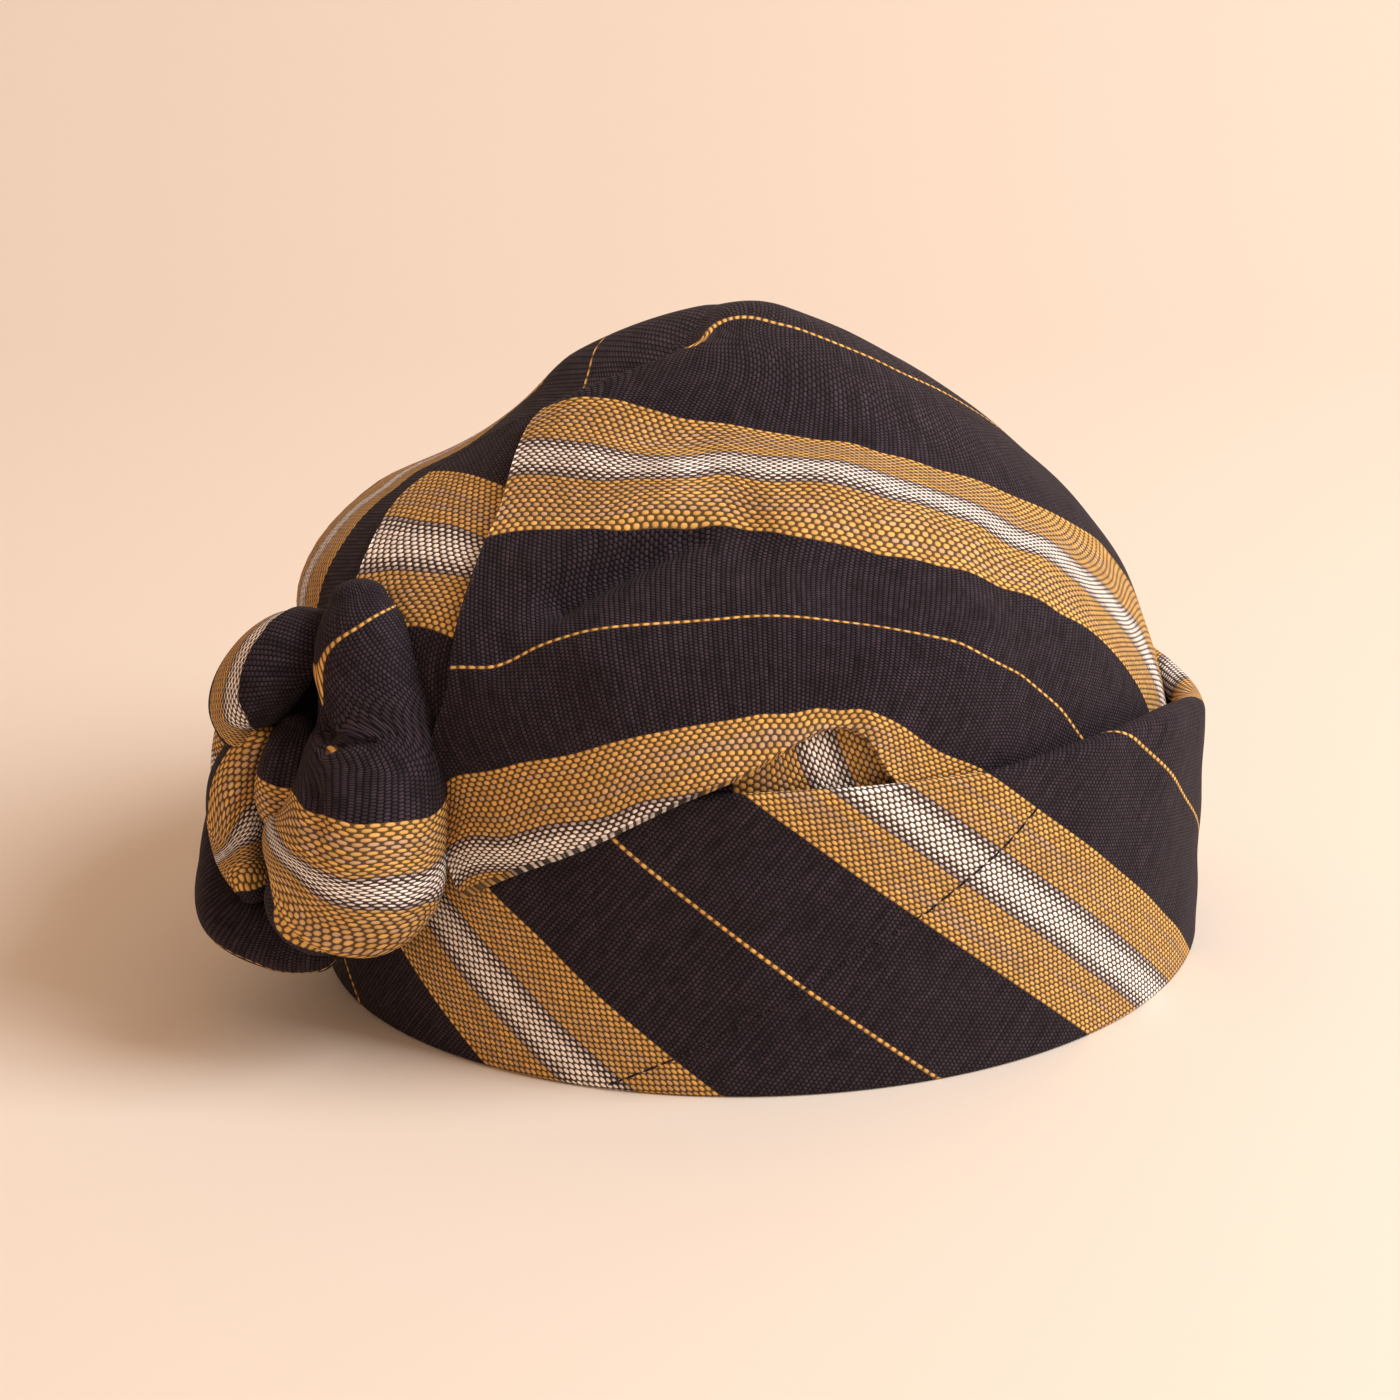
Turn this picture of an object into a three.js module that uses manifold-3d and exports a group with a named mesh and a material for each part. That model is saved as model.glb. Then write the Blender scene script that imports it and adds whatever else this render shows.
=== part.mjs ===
// Knotted wrap cap: a soft cap folded and knotted from one striped woven cloth.
// Millimetres, +Z up, origin at the centre of the rim on the surface that the cap rests on.
// The front is -Y, the knot is at +Y, and the wearer's right is -X.

import * as THREE from 'three';
import { mergeVertices } from 'three/addons/utils/BufferGeometryUtils.js';
import Module from 'manifold-3d';

const wasm = await Module();
wasm.setup();

// Driving dimensions
const BAND = { halfLength: 103, halfWidth: 93, wall: 2.6, hem: 0.6, rollDepth: 11 };
const CROWN = { height: 146.8, wall: 2, rimLift: 1.5 };
const SHEET = { wall: 1.5, gap: 0.9, pleatStep: 2.7, tuckStep: 2.3 };
const KNOT = { yaw: 20, gap: 0.4, besideBand: 147 };
const STEPS = {
  bandTurns: 60, crownTurns: 44, crownRings: 14, wrapAlong: 20, wrapAcross: 36,
  pleatAlong: 16, pleatAcross: 8, tuckAlong: 10, tuckAcross: 5, lobeAlong: 13, lobeTurns: 13,
};

// Crown outside by latitude: how far it reaches to the front, back and side
const CROWN_ROWS = [
  { latitude: 0, front: 97, back: 97, side: 87.5 },
  { latitude: 20, front: 98.5, back: 104, side: 91 },
  { latitude: 40, front: 98, back: 133, side: 104 },
  { latitude: 55, front: 86, back: 115.5, side: 94 },
  { latitude: 70, front: 67, back: 113, side: 86 },
  { latitude: 90, front: 48, back: 119, side: 74 },
];

// Band by azimuth from the front: height of its top edge and thickness of the rolled top
const BAND_ROWS = [
  { azimuth: 0, top: 56, roll: 7 },
  { azimuth: 16, top: 57, roll: 7 },
  { azimuth: 40, top: 67, roll: 7 },
  { azimuth: 62, top: 70, roll: 5.5 },
  { azimuth: 78, top: 70, roll: 3 },
  { azimuth: 116, top: 70, roll: 2.6 },
  { azimuth: 130, top: 65, roll: 2.6 },
  { azimuth: 142, top: 56, roll: 2.6 },
  { azimuth: 153, top: 48, roll: 2.6 },
  { azimuth: 180, top: 46, roll: 2.6 },
];

// Lines of the wrap along its stripes from the hem up to the ridge, each from its back edge to
// its front: the pitch from the back over the top, the angle out to the wearer's right, and
// the station of the back edge on the wearer's left, where the line is otherwise mirrored
const WRAP_LINES = [
  { name: 'hem', pitch: [27, 44, 63, 79.5, 96, 114], lateral: [27, 37.8, 43.3, 44.9, 51, 62],
    leftPitch: 27, leftLateral: -27 },
  { name: 'lower gold', pitch: [37, 52, 68, 83, 98, 125], lateral: [20.8, 33.8, 40.5, 44.2, 49.9, 54],
    leftPitch: 37, leftLateral: -25 },
  { name: 'pin line', pitch: [46.3, 59, 78, 97, 117, 140], lateral: [19.8, 27.6, 35.2, 39.9, 42, 40],
    leftPitch: 48, leftLateral: -28 },
  { name: 'gold below', pitch: [57.2, 70, 86.2, 102, 125, 147], lateral: [11.9, 21.2, 32, 37.3, 34.6, 29],
    leftPitch: 62, leftLateral: -26 },
  { name: 'gold above', pitch: [67.4, 76, 90, 106.4, 128.8, 150], lateral: [-1.2, 8.5, 18.8, 24.7, 24.2, 17],
    leftPitch: 76, leftLateral: -15 },
  { name: 'ridge', pitch: [81, 88, 97, 108, 130, 152], lateral: [3.4, 1.4, 4.8, 3.2, 1, 0] },
];

// Rolled edge of the wrap from the knot to the pocket, in shares of its width and length
const ROLL = { puff: 2, acrossFrom: 0.03, acrossTo: 0.09, alongFrom: 0.48, alongTo: 0.6 };

// Where the wrap rises over what lies under it: azimuths from the front, heights and shares
const OVER_PLEAT = { alongFrom: 0.2, alongTo: 0.4, shareFrom: 0.4, shareTo: 0.5 };
const OVER_TUCK = {
  front: 64, frontFull: 82, backFull: 128, back: 142, rise: 10, full: 2, high: 96, end: 112,
};
const OVER_BAND = { from: 92, full: 104, above: 2, end: 16 };

// Rounding of the band's rolled top, in shares of its thickness
const ROUND = { shoulder: 0.2, drop: 0.12 };

// Length of a lobe's closed end, as a share of its end section
const LOBE_CAP = 0.7;

// Soft folds and a bulge of the crown and the wrap, from one station to another
const FOLDS = [
  { from: [58, 23], to: [76, 26.5], half: 4.5, depth: -2.8 },
  { from: [75, 6], to: [77, 24], half: 4, depth: -1.5 },
  { from: [58, 30], to: [78, 33], half: 4, depth: 2 },
  { from: [84, 44], to: [100, 36], half: 4, depth: 1.5 },
  { from: [42, -10], to: [52, -17], half: 7, depth: 3.6 },
];

// Back pleat by pitch: where its free edge and its covered edge lie
const PLEAT_ROWS = [
  { pitch: 38, free: 10, covered: 26 },
  { pitch: 43, free: 6, covered: 25 },
  { pitch: 48, free: 1, covered: 23.5 },
  { pitch: 53, free: -4, covered: 20.5 },
  { pitch: 57, free: -5, covered: 16.5 },
  { pitch: 62, free: -3.7, covered: 10 },
  { pitch: 67, free: -0.2, covered: 9 },
  { pitch: 70.5, free: 3.8, covered: 10 },
];

// Tuck in the pocket above the band, by azimuth from the front
const TUCK = { from: 123, to: 88, low: 54, high: 90 };

// Knot lobes, each a row of sections along its length: centre and half sizes
const KNOT_LOBES = {
  knot_lobe: [
    { x: -24, y: 103, z: 101, across: 6.5, deep: 6 },
    { x: -27, y: 103, z: 95, across: 10, deep: 9 },
    { x: -31, y: 102.6, z: 85, across: 12.8, deep: 12 },
    { x: -34, y: 101.5, z: 75, across: 14.6, deep: 15 },
    { x: -37, y: 103.5, z: 66, across: 16.3, deep: 17.6 },
    { x: -40, y: 107, z: 56, across: 18, deep: 20 },
    { x: -40, y: 109.8, z: 48, across: 20.3, deep: 20.5 },
    { x: -38, y: 113.5, z: 41, across: 19, deep: 17.5 },
    { x: -34, y: 118, z: 35, across: 11.5, deep: 11 },
  ],
  knot_loop: [
    { x: -18, y: 109, z: 92, across: 5, deep: 5.7 },
    { x: -14.5, y: 115.7, z: 88.5, across: 7.8, deep: 10.8 },
    { x: -11.3, y: 121.3, z: 82, across: 8.8, deep: 12.8 },
    { x: -8.3, y: 125.3, z: 74, across: 7.7, deep: 12.3 },
    { x: -9, y: 125, z: 66, across: 4.5, deep: 8 },
  ],
  knot_inner: [
    { x: -18, y: 116, z: 71, across: 4, deep: 4 },
    { x: -22.5, y: 118, z: 66, across: 6.6, deep: 7.6 },
    { x: -26, y: 119, z: 58, across: 8.3, deep: 9.5 },
    { x: -28, y: 118, z: 50, across: 5.5, deep: 7 },
  ],
  knot_turn: [
    { x: -13, y: 123, z: 70, across: 3.8, deep: 6 },
    { x: -11, y: 127.5, z: 57, across: 6.8, deep: 11 },
    { x: -11, y: 127.5, z: 43, across: 6.5, deep: 12 },
    { x: -13, y: 125, z: 33, across: 4.5, deep: 8 },
  ],
  knot_tail: [
    { x: -3, y: 126, z: 58, across: 4, deep: 6 },
    { x: -3, y: 127.5, z: 47, across: 5.5, deep: 7.5 },
    { x: -4, y: 128.5, z: 37, across: 7, deep: 10 },
    { x: -9, y: 129, z: 27.5, across: 8, deep: 12.5 },
    { x: -18, y: 121, z: 22.5, across: 7.5, deep: 9.5 },
    { x: -26, y: 114, z: 22, across: 5.5, deep: 7 },
  ],
  knot_far_lobe: [
    { x: 8, y: 108, z: 78, across: 8, deep: 8 },
    { x: 12, y: 109, z: 68, across: 14, deep: 13 },
    { x: 15, y: 109, z: 52, across: 18, deep: 17 },
    { x: 14, y: 110, z: 36, across: 17, deep: 15 },
    { x: 8, y: 112, z: 23, across: 10, deep: 9 },
  ],
};

const COLOURS = { black: 0x2a2426, gold: 0xa87c34, mixed: 0x6d5330 };
const CLOTH_ROUGHNESS = 0.85;

// Search steps, a small angle for slopes in degrees, and the distance at which vertices merge
const HALVINGS = 44;
const PROBE = 0.2;
const MERGE = 1e-4;

const radians = THREE.MathUtils.degToRad;
const degrees = THREE.MathUtils.radToDeg;
const clamp = THREE.MathUtils.clamp;

// 0 below from, 1 above to, smooth between
function ramp(value, from, to) {
  const t = clamp((value - from) / (to - from), 0, 1);
  return t * t * (3 - 2 * t);
}

// A smooth curve through one column of a table, read at a value of its key column
function smooth(rows, key, column, at) {
  const last = rows.length - 1;
  const slope = (i) => {
    const before = rows[Math.max(i - 1, 0)];
    const after = rows[Math.min(i + 1, last)];
    return (after[column] - before[column]) / (after[key] - before[key]);
  };
  let i = 0;
  while (i < last - 1 && at > rows[i + 1][key]) i += 1;
  const span = rows[i + 1][key] - rows[i][key];
  const t = clamp((at - rows[i][key]) / span, 0, 1);
  const rise = t * t * (3 - 2 * t);
  const lead = t * (1 - t) * (1 - t) * slope(i);
  const trail = t * t * (t - 1) * slope(i + 1);
  return rows[i][column] * (1 - rise) + rows[i + 1][column] * rise + span * (lead + trail);
}

// Half sizes of the crown at a height, along Y towards the side that y is on and along X
function crownHalves(y, z) {
  const latitude = Math.asin(clamp(z / CROWN.height, 0, 1));
  const at = (column) => smooth(CROWN_ROWS, 'latitude', column, degrees(latitude)) * Math.cos(latitude);
  return { along: at(y < 0 ? 'front' : 'back'), side: at('side') };
}

function directionAt(pitch, lateral) {
  const flat = Math.cos(radians(lateral));
  return new THREE.Vector3(
    -Math.sin(radians(lateral)),
    flat * Math.cos(radians(pitch)),
    flat * Math.sin(radians(pitch)),
  );
}

// Where a ray from the rim's centre leaves the crown
function crownReach(direction) {
  let inside = 0;
  let outside = 2 * CROWN.height;
  for (let step = 0; step < HALVINGS; step += 1) {
    const middle = (inside + outside) / 2;
    const point = direction.clone().multiplyScalar(middle);
    const { along, side } = crownHalves(point.y, point.z);
    const level = (point.x / side) ** 2 + (point.y / along) ** 2;
    if (point.z < CROWN.height && level < 1) inside = middle;
    else outside = middle;
  }
  return inside;
}

// Depth of the folds at a station
function foldDepth(pitch, lateral) {
  const here = new THREE.Vector2(pitch, lateral);
  let depth = 0;
  for (const fold of FOLDS) {
    const start = new THREE.Vector2(...fold.from);
    const run = new THREE.Vector2(...fold.to).sub(start);
    const t = clamp(here.clone().sub(start).dot(run) / run.lengthSq(), 0, 1);
    const away = here.distanceTo(start.addScaledVector(run, t));
    depth += fold.depth * Math.exp(-((away / fold.half) ** 2));
  }
  return depth;
}

// A point on the crown's outside at a station, lifted along the surface's normal
function onCrown(pitch, lateral, lift) {
  const at = (p, l) => directionAt(p, l).multiplyScalar(crownReach(directionAt(p, l)));
  const point = at(pitch, lateral);
  const byPitch = at(pitch + PROBE, lateral).sub(point);
  const byLateral = at(pitch, lateral + PROBE).sub(point);
  const normal = byPitch.cross(byLateral).normalize();
  if (normal.dot(point) < 0) normal.negate();
  return point.addScaledVector(normal, foldDepth(pitch, lateral) + lift);
}

// Azimuth from the front, 0 to 180 on either side
function azimuthOf(point) {
  return degrees(Math.atan2(Math.abs(point.x), -point.y));
}

function bandColumn(column, azimuth) {
  const folded = Math.abs(((azimuth + 180) % 360 + 360) % 360 - 180);
  return smooth(BAND_ROWS, 'azimuth', column, folded);
}

// Horizontal distance from the axis to the band's outside, towards a point
function bandReach(point) {
  const out = Math.hypot(point.x, point.y);
  const level = Math.hypot(point.x / BAND.halfWidth, point.y / BAND.halfLength);
  return out / level;
}

// A closed solid between two faces given as grids of points, the outer one seen from outside
function sheetGeometry(outer, inner) {
  const rows = outer.length;
  const columns = outer[0].length;
  const positions = [...outer.flat(), ...inner.flat()].flatMap((p) => p.toArray());
  const index = [];
  const at = (face, i, j) => face * rows * columns + i * columns + j;
  const quad = (a, b, c, d) => index.push(a, b, c, a, c, d);
  for (let i = 0; i < rows - 1; i += 1) {
    for (let j = 0; j < columns - 1; j += 1) {
      quad(at(0, i, j), at(0, i + 1, j), at(0, i + 1, j + 1), at(0, i, j + 1));
      quad(at(1, i, j), at(1, i, j + 1), at(1, i + 1, j + 1), at(1, i + 1, j));
    }
  }
  for (let i = 0; i < rows - 1; i += 1) {
    quad(at(0, i, 0), at(1, i, 0), at(1, i + 1, 0), at(0, i + 1, 0));
    quad(at(0, i + 1, columns - 1), at(1, i + 1, columns - 1), at(1, i, columns - 1), at(0, i, columns - 1));
  }
  for (let j = 0; j < columns - 1; j += 1) {
    quad(at(0, 0, j + 1), at(1, 0, j + 1), at(1, 0, j), at(0, 0, j));
    quad(at(0, rows - 1, j), at(1, rows - 1, j), at(1, rows - 1, j + 1), at(0, rows - 1, j + 1));
  }
  return geometryFrom(positions, index);
}

function geometryFrom(positions, index) {
  const geometry = new THREE.BufferGeometry();
  geometry.setAttribute('position', new THREE.Float32BufferAttribute(positions, 3));
  geometry.setIndex(index);
  return geometry;
}

// A closed surface from rings of points between two poles
function ringsGeometry(firstPole, rings, lastPole) {
  const turns = rings[0].length;
  const positions = [firstPole, ...rings.flat(), lastPole].flatMap((p) => p.toArray());
  const index = [];
  const last = rings.length * turns + 1;
  for (let j = 0; j < turns; j += 1) {
    const next = (j + 1) % turns;
    index.push(0, 1 + next, 1 + j);
    for (let i = 0; i < rings.length - 1; i += 1) {
      const a = 1 + i * turns;
      const b = a + turns;
      index.push(a + j, a + next, b + next, a + j, b + next, b + j);
    }
    const a = 1 + (rings.length - 1) * turns;
    index.push(last, a + j, a + next);
  }
  return geometryFrom(positions, index);
}

// A ring on the crown at a latitude
function crownRing(latitude, lift) {
  const ring = [];
  for (let turn = 0; turn < STEPS.crownTurns; turn += 1) {
    const azimuth = (turn / STEPS.crownTurns) * 2 * Math.PI;
    const z = CROWN.height * Math.sin(radians(latitude));
    const { along, side } = crownHalves(-Math.cos(azimuth), z);
    const point = new THREE.Vector3(side * Math.sin(azimuth), -along * Math.cos(azimuth), z);
    const pitch = degrees(Math.atan2(point.z, point.y));
    const lateral = degrees(Math.atan2(-point.x, Math.hypot(point.y, point.z)));
    ring.push(onCrown(pitch, lateral, lift));
  }
  return ring;
}

function flatten(ring, z) {
  return ring.map((point) => new THREE.Vector3(point.x, point.y, z));
}

// Rings of the crown from the top down to its flat rim
function crownRings(lift) {
  const rings = [];
  const rimLatitude = degrees(Math.asin(CROWN.rimLift / CROWN.height));
  for (let i = 0; i < STEPS.crownRings; i += 1) {
    const rise = Math.sin((i / STEPS.crownRings) * (Math.PI / 2));
    rings.unshift(crownRing(rimLatitude + (90 - rimLatitude) * rise, lift).reverse());
  }
  rings.push(flatten(rings.pop(), CROWN.rimLift));
  return rings;
}

function crownTop(lift) {
  return new THREE.Vector3(0, 0, CROWN.height + lift);
}

// The hollow cap: down the outside from the top to the rim, and up the inside to its ceiling
function crownGeometry() {
  const rings = [...crownRings(0), ...crownRings(-CROWN.wall).reverse()];
  return ringsGeometry(crownTop(0), rings, crownTop(-CROWN.wall));
}

// The outline of the band's wall at one azimuth, as distance in from its outside and height
function bandSection(azimuth) {
  const top = bandColumn('top', azimuth);
  const roll = bandColumn('roll', azimuth);
  const rollEnd = Math.min(top - BAND.rollDepth, top - roll);
  const shoulder = roll * ROUND.shoulder;
  const drop = roll * ROUND.drop;
  return [
    [BAND.hem, 0], [0, BAND.hem], [0, top / 2], [0, top - roll / 2], [shoulder, top - drop],
    [roll / 2, top], [roll - shoulder, top - drop], [roll, top - roll / 2],
    [BAND.wall, rollEnd], [BAND.wall, BAND.hem], [BAND.wall - BAND.hem, 0],
  ];
}

function bandGeometry() {
  const sides = bandSection(0).length;
  const positions = [];
  const index = [];
  for (let turn = 0; turn < STEPS.bandTurns; turn += 1) {
    const angle = (turn / STEPS.bandTurns) * 2 * Math.PI;
    const sine = Math.sin(angle);
    const cosine = Math.cos(angle);
    const azimuth = degrees(Math.atan2(BAND.halfWidth * sine, BAND.halfLength * cosine));
    for (const [inward, height] of bandSection(azimuth)) {
      positions.push((BAND.halfWidth - inward) * sine, -(BAND.halfLength - inward) * cosine, height);
    }
    const next = (turn + 1) % STEPS.bandTurns;
    for (let k = 0; k < sides; k += 1) {
      const l = (k + 1) % sides;
      const a = turn * sides;
      const b = next * sides;
      index.push(a + k, b + k, b + l, a + k, b + l, a + l);
    }
  }
  return geometryFrom(positions, index);
}

// The wrap's lines from the right hem over the ridge to the left hem
function wrapLines() {
  const stations = (line, side) => line.pitch.map((p, i) => new THREE.Vector2(p, side * line.lateral[i]));
  const right = WRAP_LINES.map((line) => new THREE.SplineCurve(stations(line, 1)));
  const left = WRAP_LINES.slice(0, -1).reverse().map((line) => {
    const backEdge = new THREE.Vector2(line.leftPitch, line.leftLateral);
    return new THREE.SplineCurve([backEdge, ...stations(line, -1).slice(1)]);
  });
  return [...right, ...left];
}

// How far the wrap stands off the crown: over the pleat at its back edge and over the tuck
function wrapUnder(along, share, point) {
  const nearBack = 1 - ramp(along, OVER_PLEAT.alongFrom, OVER_PLEAT.alongTo);
  const overPleat = nearBack * (1 - ramp(share, OVER_PLEAT.shareFrom, OVER_PLEAT.shareTo));
  const azimuth = azimuthOf(point);
  const behindFront = ramp(azimuth, OVER_TUCK.front, OVER_TUCK.frontFull);
  const beforeBack = 1 - ramp(azimuth, OVER_TUCK.backFull, OVER_TUCK.back);
  const aboveFoot = ramp(point.z, TUCK.low - OVER_TUCK.rise, TUCK.low - OVER_TUCK.full);
  const belowHead = 1 - ramp(point.z, OVER_TUCK.high, OVER_TUCK.end);
  const overTuck = behindFront * beforeBack * aboveFoot * belowHead;
  return Math.max(SHEET.pleatStep * overPleat, SHEET.tuckStep * overTuck);
}

// The wrap's lower part hangs outside the band behind the pocket
function overBand(point, clearance) {
  const azimuth = azimuthOf(point);
  const top = bandColumn('top', azimuth);
  const belowTop = 1 - ramp(point.z, top + OVER_BAND.above, top + OVER_BAND.end);
  const share = ramp(azimuth, OVER_BAND.from, OVER_BAND.full) * belowTop;
  const out = Math.hypot(point.x, point.y);
  const wanted = Math.max(out, bandReach(point) + clearance);
  const scale = 1 + share * (wanted / out - 1);
  return new THREE.Vector3(point.x * scale, point.y * scale, point.z);
}

// Extra thickness of the rolled edge
function rollPuff(along, share) {
  const atEdge = 1 - ramp(share, ROLL.acrossFrom, ROLL.acrossTo);
  const behindPocket = 1 - ramp(along, ROLL.alongFrom, ROLL.alongTo);
  return ROLL.puff * atEdge * behindPocket;
}

// One face of the wrap, at a distance out from its inner face
function wrapFace(thickness) {
  const lines = wrapLines();
  const face = [];
  for (let i = 0; i <= STEPS.wrapAlong; i += 1) {
    const along = i / STEPS.wrapAlong;
    const across = new THREE.SplineCurve(lines.map((line) => line.getPoint(along)));
    const row = [];
    for (let j = 0; j <= STEPS.wrapAcross; j += 1) {
      const share = j / STEPS.wrapAcross;
      const station = across.getPoint(share);
      const base = onCrown(station.x, station.y, 0);
      const under = wrapUnder(along, share, base);
      const lift = SHEET.gap + thickness + (thickness > 0 ? rollPuff(along, share) : 0);
      const raised = onCrown(station.x, station.y, under + lift);
      row.push(overBand(raised, lift));
    }
    face.push(row);
  }
  return face;
}

// Moves the four borders of a face outwards by a margin
function widen(face, margin) {
  const push = (edge, inner) => edge.addScaledVector(edge.clone().sub(inner).normalize(), margin);
  const end = face.length - 1;
  face[0].forEach((point, j) => push(point, face[1][j]));
  face[end].forEach((point, j) => push(point, face[end - 1][j]));
  for (const row of face) {
    push(row[0], row[1]);
    push(row[row.length - 1], row[row.length - 2]);
  }
  return face;
}

// A sheet from a function that gives its face at a lift, grown by a margin all round
function grownSheet(faceAt, grow) {
  return sheetGeometry(widen(faceAt(SHEET.wall + grow), grow), widen(faceAt(-grow), grow));
}

function wrapGeometry(grow) {
  return grownSheet(wrapFace, grow);
}

// The strip of cloth folded beside the wrap's back edge
function pleatGeometry(grow) {
  const face = (lift) => {
    const grid = [];
    const first = PLEAT_ROWS[0].pitch;
    const last = PLEAT_ROWS[PLEAT_ROWS.length - 1].pitch;
    for (let i = 0; i <= STEPS.pleatAlong; i += 1) {
      const pitch = first + ((last - first) * i) / STEPS.pleatAlong;
      const free = smooth(PLEAT_ROWS, 'pitch', 'free', pitch);
      const covered = smooth(PLEAT_ROWS, 'pitch', 'covered', pitch);
      const row = [];
      for (let j = 0; j <= STEPS.pleatAcross; j += 1) {
        const share = j / STEPS.pleatAcross;
        row.push(onCrown(pitch, covered + (free - covered) * share, SHEET.gap + lift));
      }
      grid.push(row);
    }
    return grid;
  };
  return grownSheet(face, grow);
}

// The cloth in the pocket between the wrap's edge and the band's top
function tuckGeometry(side) {
  const face = (lift) => {
    const grid = [];
    for (let i = 0; i <= STEPS.tuckAlong; i += 1) {
      const azimuth = radians(TUCK.from + ((TUCK.to - TUCK.from) * i) / STEPS.tuckAlong);
      const row = [];
      for (let j = 0; j <= STEPS.tuckAcross; j += 1) {
        const z = TUCK.low + ((TUCK.high - TUCK.low) * j) / STEPS.tuckAcross;
        const { along, side: halfWidth } = crownHalves(-Math.cos(azimuth), z);
        const x = side * halfWidth * Math.sin(azimuth);
        const y = -along * Math.cos(azimuth);
        const pitch = degrees(Math.atan2(z, y));
        const lateral = degrees(Math.atan2(-x, Math.hypot(y, z)));
        row.push(onCrown(pitch, lateral, SHEET.gap + lift));
      }
      grid.push(side < 0 ? row : row.reverse());
    }
    return grid;
  };
  return sheetGeometry(face(SHEET.wall), face(0));
}

// A lobe of the knot: elliptical sections along a smooth path, closed by a pole at each end
function lobeGeometry(rows) {
  const path = new THREE.CatmullRomCurve3(rows.map((row) => new THREE.Vector3(row.x, row.y, row.z)));
  const sizes = rows.map((row, i) => ({ place: i / (rows.length - 1), across: row.across, deep: row.deep }));
  const facing = new THREE.Vector3(-Math.cos(radians(KNOT.yaw)), Math.sin(radians(KNOT.yaw)), 0);
  const rings = [];
  for (let i = 0; i <= STEPS.lobeAlong; i += 1) {
    const place = i / STEPS.lobeAlong;
    const centre = path.getPoint(place);
    const tangent = path.getTangent(place);
    const deep = facing.clone().addScaledVector(tangent, -facing.dot(tangent)).normalize();
    const across = tangent.clone().cross(deep);
    const halfAcross = smooth(sizes, 'place', 'across', place);
    const halfDeep = smooth(sizes, 'place', 'deep', place);
    const ring = [];
    for (let turn = 0; turn < STEPS.lobeTurns; turn += 1) {
      const angle = (turn / STEPS.lobeTurns) * 2 * Math.PI;
      const point = centre.clone().addScaledVector(across, halfAcross * Math.cos(angle));
      ring.push(point.addScaledVector(deep, halfDeep * Math.sin(angle)));
    }
    rings.push(ring.reverse());
  }
  const startReach = LOBE_CAP * rows[0].across;
  const endReach = LOBE_CAP * rows[rows.length - 1].across;
  const firstPole = path.getPoint(0).addScaledVector(path.getTangent(0), -startReach);
  const lastPole = path.getPoint(1).addScaledVector(path.getTangent(1), endReach);
  return ringsGeometry(firstPole, rings, lastPole);
}

function solidFrom(geometry) {
  const merged = mergeVertices(geometry, MERGE);
  const vertProperties = new Float32Array(merged.getAttribute('position').array);
  const triVerts = new Uint32Array(merged.getIndex().array);
  return new wasm.Manifold(new wasm.Mesh({ numProp: 3, vertProperties, triVerts }));
}

function geometryOf(solid) {
  const mesh = solid.getMesh();
  return geometryFrom(Array.from(mesh.vertProperties), Array.from(mesh.triVerts));
}

// A solid the size of a lobe grown by the gap that its neighbours keep from it
function grownLobe(rows) {
  const grown = rows.map((row) => ({ ...row, across: row.across + KNOT.gap, deep: row.deep + KNOT.gap }));
  return solidFrom(lobeGeometry(grown));
}

// What the knot lies against: the crown, the band's outside and the cloth on the crown
function knotBacking() {
  const rimCentre = new THREE.Vector3(0, 0, CROWN.rimLift);
  const dome = ringsGeometry(crownTop(KNOT.gap), crownRings(KNOT.gap), rimCentre);
  const wall = new THREE.CylinderGeometry(1, 1, 1, STEPS.bandTurns);
  wall.rotateX(Math.PI / 2);
  const tall = bandColumn('top', KNOT.besideBand) + KNOT.gap;
  wall.scale(BAND.halfWidth + KNOT.gap, BAND.halfLength + KNOT.gap, tall);
  wall.translate(0, 0, tall / 2);
  wall.deleteAttribute('normal');
  wall.deleteAttribute('uv');
  return solidFrom(dome)
    .add(solidFrom(wall))
    .add(solidFrom(wrapGeometry(KNOT.gap)))
    .add(solidFrom(pleatGeometry(KNOT.gap)));
}

// The lobes press against each other in this order, each cut back by the ones before it
function knotGeometries() {
  let taken = knotBacking();
  const geometries = {};
  for (const [name, rows] of Object.entries(KNOT_LOBES)) {
    const pieces = solidFrom(lobeGeometry(rows)).subtract(taken).decompose();
    const largest = pieces.reduce((best, piece) => (piece.volume() > best.volume() ? piece : best));
    geometries[name] = geometryOf(largest);
    taken = taken.add(grownLobe(rows));
  }
  return geometries;
}

function named(name, geometry, colour) {
  const finish = { color: colour, roughness: CLOTH_ROUGHNESS, metalness: 0 };
  const material = new THREE.MeshStandardMaterial(finish);
  const mesh = new THREE.Mesh(geometry, material);
  mesh.name = name;
  return mesh;
}

const cap = new THREE.Group();
cap.name = 'knotted_wrap_cap';
cap.add(named('crown', crownGeometry(), COLOURS.black));
cap.add(named('band', bandGeometry(), COLOURS.mixed));
cap.add(named('wrap', wrapGeometry(0), COLOURS.mixed));
cap.add(named('back_pleat', pleatGeometry(0), COLOURS.gold));
cap.add(named('tuck_right', tuckGeometry(-1), COLOURS.gold));
cap.add(named('tuck_left', tuckGeometry(1), COLOURS.gold));
for (const [name, geometry] of Object.entries(knotGeometries())) {
  cap.add(named(name, geometry, name === 'knot_turn' ? COLOURS.gold : COLOURS.black));
}

export default cap;
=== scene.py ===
# Looks of a soft cap that is wrapped and knotted from one striped woven cloth.
#
# Sizes are millimetres in the cap's own frame: +Z up, the front at -Y, the knot at +Y and the
# wearer's right at -X. A station on the crown is a pitch, from the back over the top to the
# front, and a lateral angle out to the wearer's right. Cloth coordinates run along the
# stripes (u) and across them (v), in millimetres too.

import math

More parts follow.
